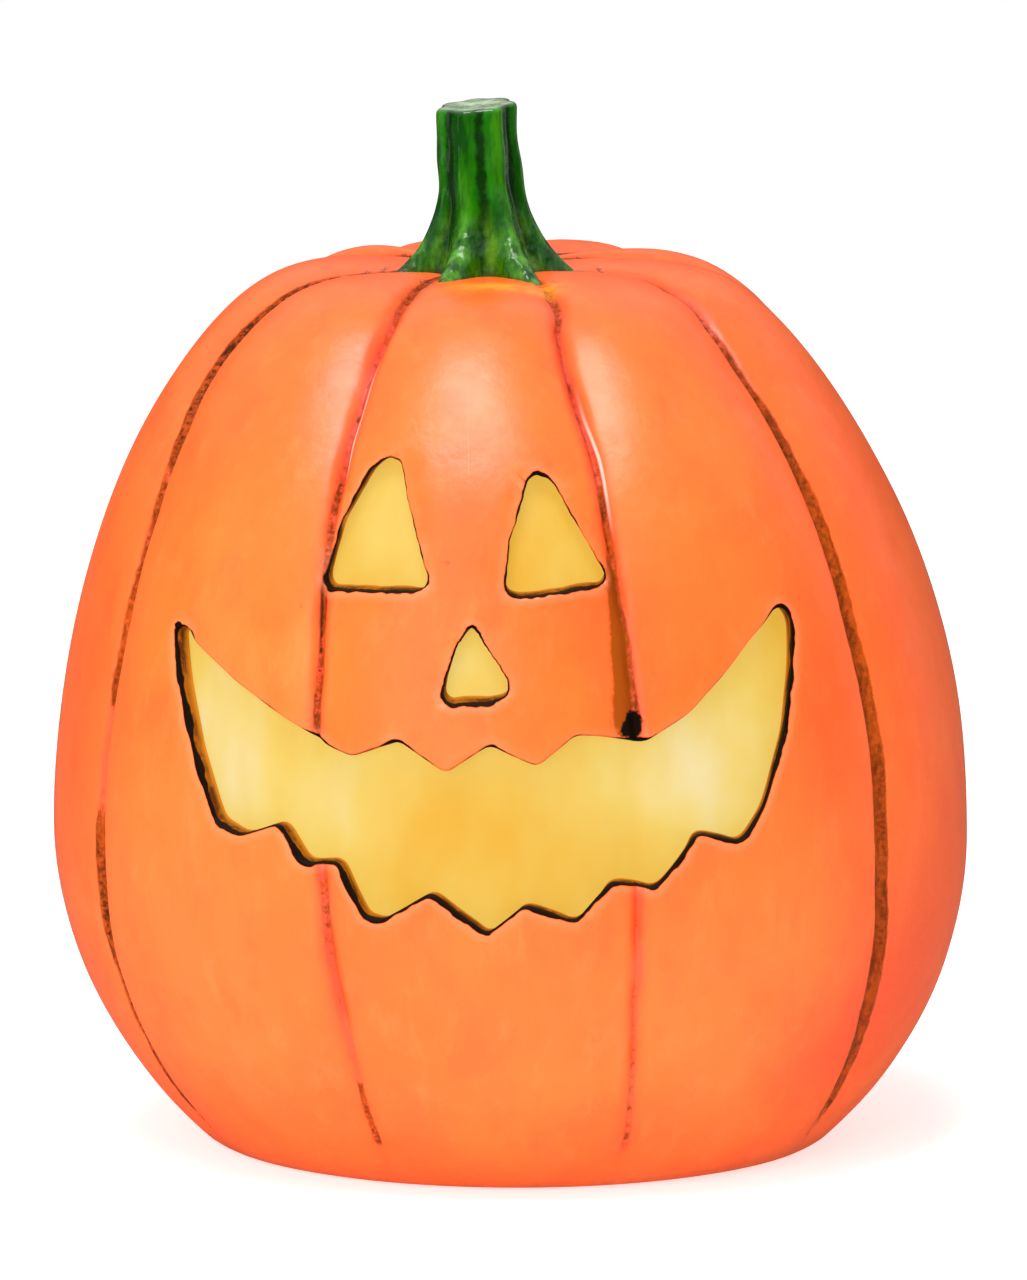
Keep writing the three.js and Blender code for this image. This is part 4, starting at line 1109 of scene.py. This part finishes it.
def metal_finish(name, dark, light, roughness=0.3, brushed=(1, 1, 1)):
    """Bare or plated metal with fine brushing and a slight tarnish."""
    f = Finish(name, Metallic=1.0)
    tarnish = f.noise(5, 4, 0.65)
    f.set("Base Color", f.mix(f.span(tarnish, 0.4, 0.7), light, dark))
    f.set("Roughness", f.span(tarnish, 0.3, 0.75, roughness, roughness + 0.2))
    f.set("Normal", f.bump(f.noise(0.5, 3, 0.6, brushed), 0.2, 0.06))
    return f.material


# ---- Stage, light and camera ----

CAMERA_TARGET = Vector((0, 0, 0.102))
CAMERA_DISTANCE = 2.0
CAMERA_AZIMUTH = 4.4
CAMERA_ELEVATION = 8.0
CAMERA_LENS = 275.8
WORLD_LIGHT = 0.44
WORLD_GLOSS = (0.08, 1.05)   # in reflections: dim at eye level, brighter overhead
WORLD_GLOSS_SPAN = (0.15, 0.7)
SOFTBOXES = {                # azimuth, elevation, distance and size in metres, watts
    "key_softbox": (-16, 70, 1.5, (0.75, 0.6), 18),
    "fill_softbox": (-18, 16, 1.8, (1.1, 1.0), 17),
    "side_softbox": (-74, 12, 1.6, (0.45, 0.9), 1.2),
    "rim_softbox": (128, 14, 1.6, (0.4, 1.0), 0.8),
}
NO_REFLECTION = {"fill_softbox"}
FLOOR_GLOW = 0.75            # keeps the floor near white under soft light
FLOOR_REACH = 9000
FLOOR_GAP = 0.1              # keeps the floor's face off the foot's


def direction(azimuth, elevation):
    """Unit vector from the object towards an azimuth, 0 in front and 90 on +X, and an elevation."""
    a, e = math.radians(azimuth), math.radians(elevation)
    return Vector((math.sin(a) * math.cos(e), -math.cos(a) * math.cos(e), math.sin(e)))


def aim(item, target):
    item.rotation_euler = (target - item.location).to_track_quat("-Z", "Y").to_euler()


def add_camera():
    camera = bpy.data.objects.new("camera", bpy.data.cameras.new("camera"))
    bpy.context.scene.collection.objects.link(camera)
    camera.data.lens = CAMERA_LENS
    camera.data.sensor_width = 36
    camera.location = CAMERA_TARGET + direction(CAMERA_AZIMUTH, CAMERA_ELEVATION) * CAMERA_DISTANCE
    aim(camera, CAMERA_TARGET)
    bpy.context.scene.camera = camera


def add_softbox(name, azimuth, elevation, distance, size, watts):
    lamp = bpy.data.lights.new(name, "AREA")
    lamp.shape = "RECTANGLE"
    lamp.size, lamp.size_y = size
    lamp.energy = watts
    item = bpy.data.objects.new(name, lamp)
    bpy.context.scene.collection.objects.link(item)
    item.location = CAMERA_TARGET + direction(azimuth, elevation) * distance
    item.visible_glossy = name not in NO_REFLECTION
    aim(item, CAMERA_TARGET)


def add_world():
    """White to the camera, soft light on surfaces, and a gradient in reflections."""
    world = bpy.data.worlds.new("studio")
    bpy.context.scene.world = world
    world.use_nodes = True
    t = NodeTree(world.node_tree)
    rays = t.node("LightPath").outputs
    up = t.node("SeparateXYZ", {0: t.node("TexCoord").outputs["Generated"]}).outputs["Z"]
    level = t.blend(rays["Is Glossy Ray"], WORLD_LIGHT, t.span(up, *WORLD_GLOSS_SPAN, *WORLD_GLOSS))
    background = world.node_tree.nodes["Background"]
    t.feed(background.inputs["Strength"], t.blend(rays["Is Camera Ray"], level, 1.0))
    background.inputs["Color"].default_value = (1, 1, 1, 1)


def add_floor():
    corners = [(-1, -1), (1, -1), (1, 1), (-1, 1)]
    points = [(x * FLOOR_REACH, y * FLOOR_REACH, -FLOOR_GAP) for x, y in corners]
    floor = mesh_piece("floor", points, [(0, 1, 2, 3)])
    f = Finish("pale_floor", Roughness=0.9, Specular_IOR_Level=0.0)
    f.colour = f.mix(f.noise(300, 2), (0.8, 0.8, 0.8, 1), (0.82, 0.82, 0.82, 1))
    f.paint(f.node("LightPath").outputs["Is Glossy Ray"], (0.1, 0.1, 0.1, 1))
    f.set("Base Color", f.colour)
    f.set("Emission Color", f.colour)
    f.set("Emission Strength", FLOOR_GLOW)
    floor.data.materials.append(f.material)


def add_stage():
    add_camera()
    add_world()
    for name, settings in SOFTBOXES.items():
        add_softbox(name, *settings)
    add_floor()
    bpy.context.scene.view_settings.view_transform = "Standard"


# ---- Glowing panel behind the cut-outs ----

PANEL_HALF_WIDTH = 64
PANEL_LOW, PANEL_HIGH = 48.5, 155.5
PANEL_CORNER = 16
PANEL_INSETS = (3.5, 4.7)    # of its front and its back, under the surface of the body
PANEL_COLUMNS, PANEL_ROWS = 97, 81


def panel_sheet(x, z, inset):
    """Points of a curved sheet under the face, at these X and heights."""
    degrees = np.degrees(np.arcsin(np.clip(x / 90, -1, 1)))
    for _ in range(6):
        points = body_point(*locate(degrees, z, inset), inset, False)
        degrees = degrees + np.degrees((x - points[:, 0]) / -points[:, 1])
    return points


def build_panel():
    heights = np.linspace(PANEL_LOW, PANEL_HIGH, PANEL_ROWS)
    low_cut = np.clip(PANEL_CORNER - (heights - PANEL_LOW), 0, None)
    high_cut = np.clip(heights - (PANEL_HIGH - 2 * PANEL_CORNER), 0, None)
    half = PANEL_HALF_WIDTH - low_cut - high_cut
    x = (half[:, None] * np.linspace(-1, 1, PANEL_COLUMNS)).ravel()
    z = np.repeat(heights, PANEL_COLUMNS)
    points = np.vstack([panel_sheet(x, z, inset) for inset in PANEL_INSETS])
    grid = np.arange(len(x)).reshape(PANEL_ROWS, PANEL_COLUMNS)
    quads = np.stack([grid[:-1, :-1], grid[:-1, 1:], grid[1:, 1:], grid[1:, :-1]], -1).reshape(-1, 4)
    faces = np.stack([quads, quads[:, ::-1] + len(x)], 1).reshape(-1, 4).tolist()
    rim = np.concatenate([grid[0], grid[1:, -1], grid[-1, -2::-1], grid[-2:0:-1, 0]])
    faces += ring_quads(rim, rim + len(x))
    piece = mesh_piece("glow_panel", points, faces, sharp_degrees=40)
    store(piece, "bright", patches(points, BRIGHT_PATCHES, 0.32))
    store(piece, "stain", patches(points, PANEL_STAINS))
    piece.data.materials.append(panel_finish())
    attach(piece, "pumpkin")
    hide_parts("face_liner")


# ---- Stem ----

STEM_TOP_X = -7.5
STEM_RIDGES = 7
STEM_PHASE = -18
STEM_COLUMNS = 168
STEM_SIDE_ROWS = 90
# Height, core radius, how far ridges stand out
STEM_ROWS = [
    (169.5, 13.0, 10.0), (172.5, 13.0, 9.0), (176.5, 12.4, 7.4), (180, 11.2, 5.0), (183.5, 10.0, 3.2),
    (187.5, 8.9, 2.0), (193.5, 7.9, 1.3), (201.5, 7.4, 1.1), (211.0, 7.3, 1.0),
]
STEM_EDGE = [(210.4, 0.0), (210.9, 0.12), (211.3, 0.4), (211.5, 0.9), (211.6, 1.8)]
LONG_ROOTS = [(-18, 0.6), (33, 0.5)]   # the two front roots run on into creases: degrees, share
STEM_SINK = 0.5              # how deep the roots sit in the body
ROOT_RANGE = (170.5, 188.0)  # heights between which the roots meet the body
RAY_START = 0.23             # metres, above everything


def curve_through(places, values, at):
    """A smooth curve through (place, value) points."""
    places, values = np.asarray(places, float), np.asarray(values, float)
    slopes = np.gradient(values, places)
    index = np.clip(np.searchsorted(places, at) - 1, 0, len(places) - 2)
    width = places[index + 1] - places[index]
    t = (at - places[index]) / width
    rise = values[index + 1] - values[index]
    start, end = slopes[index] * width, slopes[index + 1] * width
    return values[index] + t * (start + t * (3 * rise - 2 * start - end + t * (start + end - 2 * rise)))


def stem_point(degrees, height, shrink=0.0):
    """A point on the stem's side, with how near it is to a ridge's top."""
    heights, cores, ridges = zip(*STEM_ROWS)
    wave = (1 + np.cos(np.radians((degrees - STEM_PHASE) * STEM_RIDGES))) / 2
    wobble = 0.16 * np.sin(np.radians(degrees * 3) + height / 3.7)
    wobble = wobble + 0.12 * np.sin(height / 1.9 + degrees / 23)
    core = curve_through(heights, cores, height)
    ridge = curve_through(heights, ridges, height)
    low = 1 - ease(height, 172, 186)
    reach = sum(share * np.exp(-(((degrees - place) / 15) ** 2)) for place, share in LONG_ROOTS)
    radius = core + ridge * wave ** (1 + low) * (1 + reach * low) + wobble - shrink
    angle = np.radians(degrees)
    centre = STEM_CENTRE + (STEM_TOP_X - STEM_CENTRE) * ease(height, 180, 210)
    tilt = 0.08 * ease(height, 202, 211)
    x, y = radius * np.sin(angle), -radius * np.cos(angle)
    return np.stack([centre + x, y, height + tilt * (x + y)], -1), wave


def root_heights(degrees, body_tree):
    """The height at which each column of the stem sinks into the body, by halving a range."""
    low, high = (np.full(len(degrees), bound) for bound in ROOT_RANGE)
    for _ in range(16):
        middle = (low + high) / 2
        points = stem_point(degrees, middle)[0]
        hits = [body_tree.ray_cast(Vector((x * MM, y * MM, RAY_START)), Vector((0, 0, -1)))[0]
                for x, y, _ in points]
        above = points[:, 2] > np.array([hit.z / MM for hit in hits]) - STEM_SINK
        high = np.where(above, middle, high)
        low = np.where(above, low, middle)
    return high


def build_stem(body_tree):
    degrees = np.arange(STEM_COLUMNS) * 360 / STEM_COLUMNS - 180
    foot = root_heights(degrees, body_tree)
    top_height = STEM_EDGE[0][0]
    places = [(foot + (top_height - foot) * share, 0.0)
              for share in np.linspace(0, 1, STEM_SIDE_ROWS) ** 1.25]
    places += [(np.full(STEM_COLUMNS, height), shrink) for height, shrink in STEM_EDGE[1:]]
    rows, ridges = map(list, zip(*(stem_point(degrees, *place) for place in places)))

    # The cut top, slightly hollow and uneven
    edge = rows[-1]
    centre = edge.mean(0)
    for share in (0.75, 0.5, 0.25):
        ring = centre + (edge - centre) * share
        ring[:, 2] += 0.25 * np.sin(2 * np.radians(degrees) + 4 * share) * (1 - share)
        ring[:, 2] -= 0.25 * (1 - share)
        rows.append(ring)
        ridges.append(np.full(STEM_COLUMNS, 0.6))
    count = len(rows)
    bottom_point = (STEM_CENTRE, 0, rows[0][:, 2].min() - 0.5)
    points = np.vstack(rows + [centre[None] - (0, 0, 0.3), [bottom_point]])
    grid = np.arange(count * STEM_COLUMNS).reshape(count, STEM_COLUMNS)
    faces = [quad for row in range(count - 1) for quad in ring_quads(grid[row], grid[row + 1])]
    top, bottom = grid.size, grid.size + 1
    for cap, (low, after, _) in zip(ring_fan(grid[-1], top), ring_fan(grid[0], bottom)):
        faces += [cap, [after, low, bottom]]
    piece = mesh_piece("stem_figure", points, faces, sharp_degrees=50)
    row_numbers = np.append(np.repeat(np.arange(count), STEM_COLUMNS), [count, 0])
    contact = np.concatenate([rows[0][:, 2]] * count + [[0, 0]])
    store(piece, "ridge", np.concatenate(ridges + [[0.6, 0.5]]))
    store(piece, "cut", ease(row_numbers, STEM_SIDE_ROWS + 0.5, STEM_SIDE_ROWS + 3.5))
    store(piece, "root", 1 - ease(points[:, 2] - contact, 0.3, 2.2))
    store(piece, "flare", 1 - ease(points[:, 2], 182, 193))
    piece.data.materials.append(stem_finish())
    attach(piece, "pumpkin")
    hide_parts("stem")


# ---- Pieces from the CAD model, with better materials ----


def numbered(name, count):
    return [f"{name}_{number}" for number in range(1, count + 1)]


# Material: (kind, dark, light, further settings, nodes)
CAD_FINISHES = {
    "base_plastic": (moulded_finish, (30, 28, 27), (44, 41, 39), (), ["base_housing"]),
    "door_plastic": (moulded_finish, (34, 32, 30), (50, 47, 44), (0.46,), ["battery_door"]),
    "slider_plastic": (moulded_finish, (18, 17, 16), (28, 26, 25), (0.4,), ["switch_slider"]),
    "adhesive": (moulded_finish, (206, 202, 194), (224, 220, 212), (0.8,), ["adhesive_ring"]),
    "circuit_board": (moulded_finish, (16, 84, 44), (34, 116, 62), (0.4,), ["led_board"]),
    "led_lens": (moulded_finish, (250, 224, 150), (255, 238, 190), (0.2,), numbered("led", 3)),
    "resistor_body": (moulded_finish, (206, 180, 134), (226, 206, 164), (), ["resistor"]),
    "diffuser": (moulded_finish, (240, 236, 224), (250, 248, 240), (), ["diffuser_dome"]),
    "red_wire": (
        moulded_finish, (160, 30, 24), (188, 44, 34), (0.45,),
        ["wire_battery_to_switch", "wire_switch_to_board"]),
    "black_wire": (
        moulded_finish, (22, 22, 22), (34, 34, 34), (0.45,), ["wire_battery_to_board"]),
    "nickel": (
        metal_finish, (150, 146, 138), (214, 212, 206), (0.2, (1, 1, 6)),
        ["positive_terminal", "negative_terminal"] + numbered("link_contact", 2)
        + numbered("battery_spring", 3)),
    "steel": (
        metal_finish, (120, 120, 120), (186, 186, 184), (0.3, (6, 1, 1)),
        ["door_screw"] + numbered("board_screw", 2)),
    "cell_jacket": (metal_finish, (28, 70, 120), (52, 112, 168), (), numbered("battery", 3)),
    "switch_metal": (metal_finish, (120, 122, 126), (180, 182, 186), (0.32,), ["switch_body"]),
}


def finish_cad_nodes():
    for name, (kind, dark, light, settings, nodes) in CAD_FINISHES.items():
        material = kind(name, rgb(*dark), rgb(*light), *settings)
        for node in nodes:
            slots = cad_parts[node].data.materials
            slots.clear()
            slots.append(material)


# ---- The whole object ----

add_stage()

body, rim_of = build_body()
shell = mesh_piece("ceramic_body", body.joined()[0], body.faces, sharp_degrees=38)
paint_body(shell, body, rim_of)
shell.data.materials.append(ceramic_finish())
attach(shell, "pumpkin")
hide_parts("pumpkin_shell")

shell_tree = BVHTree.FromObject(shell, bpy.context.evaluated_depsgraph_get())
build_panel()
build_stem(shell_tree)
finish_cad_nodes()
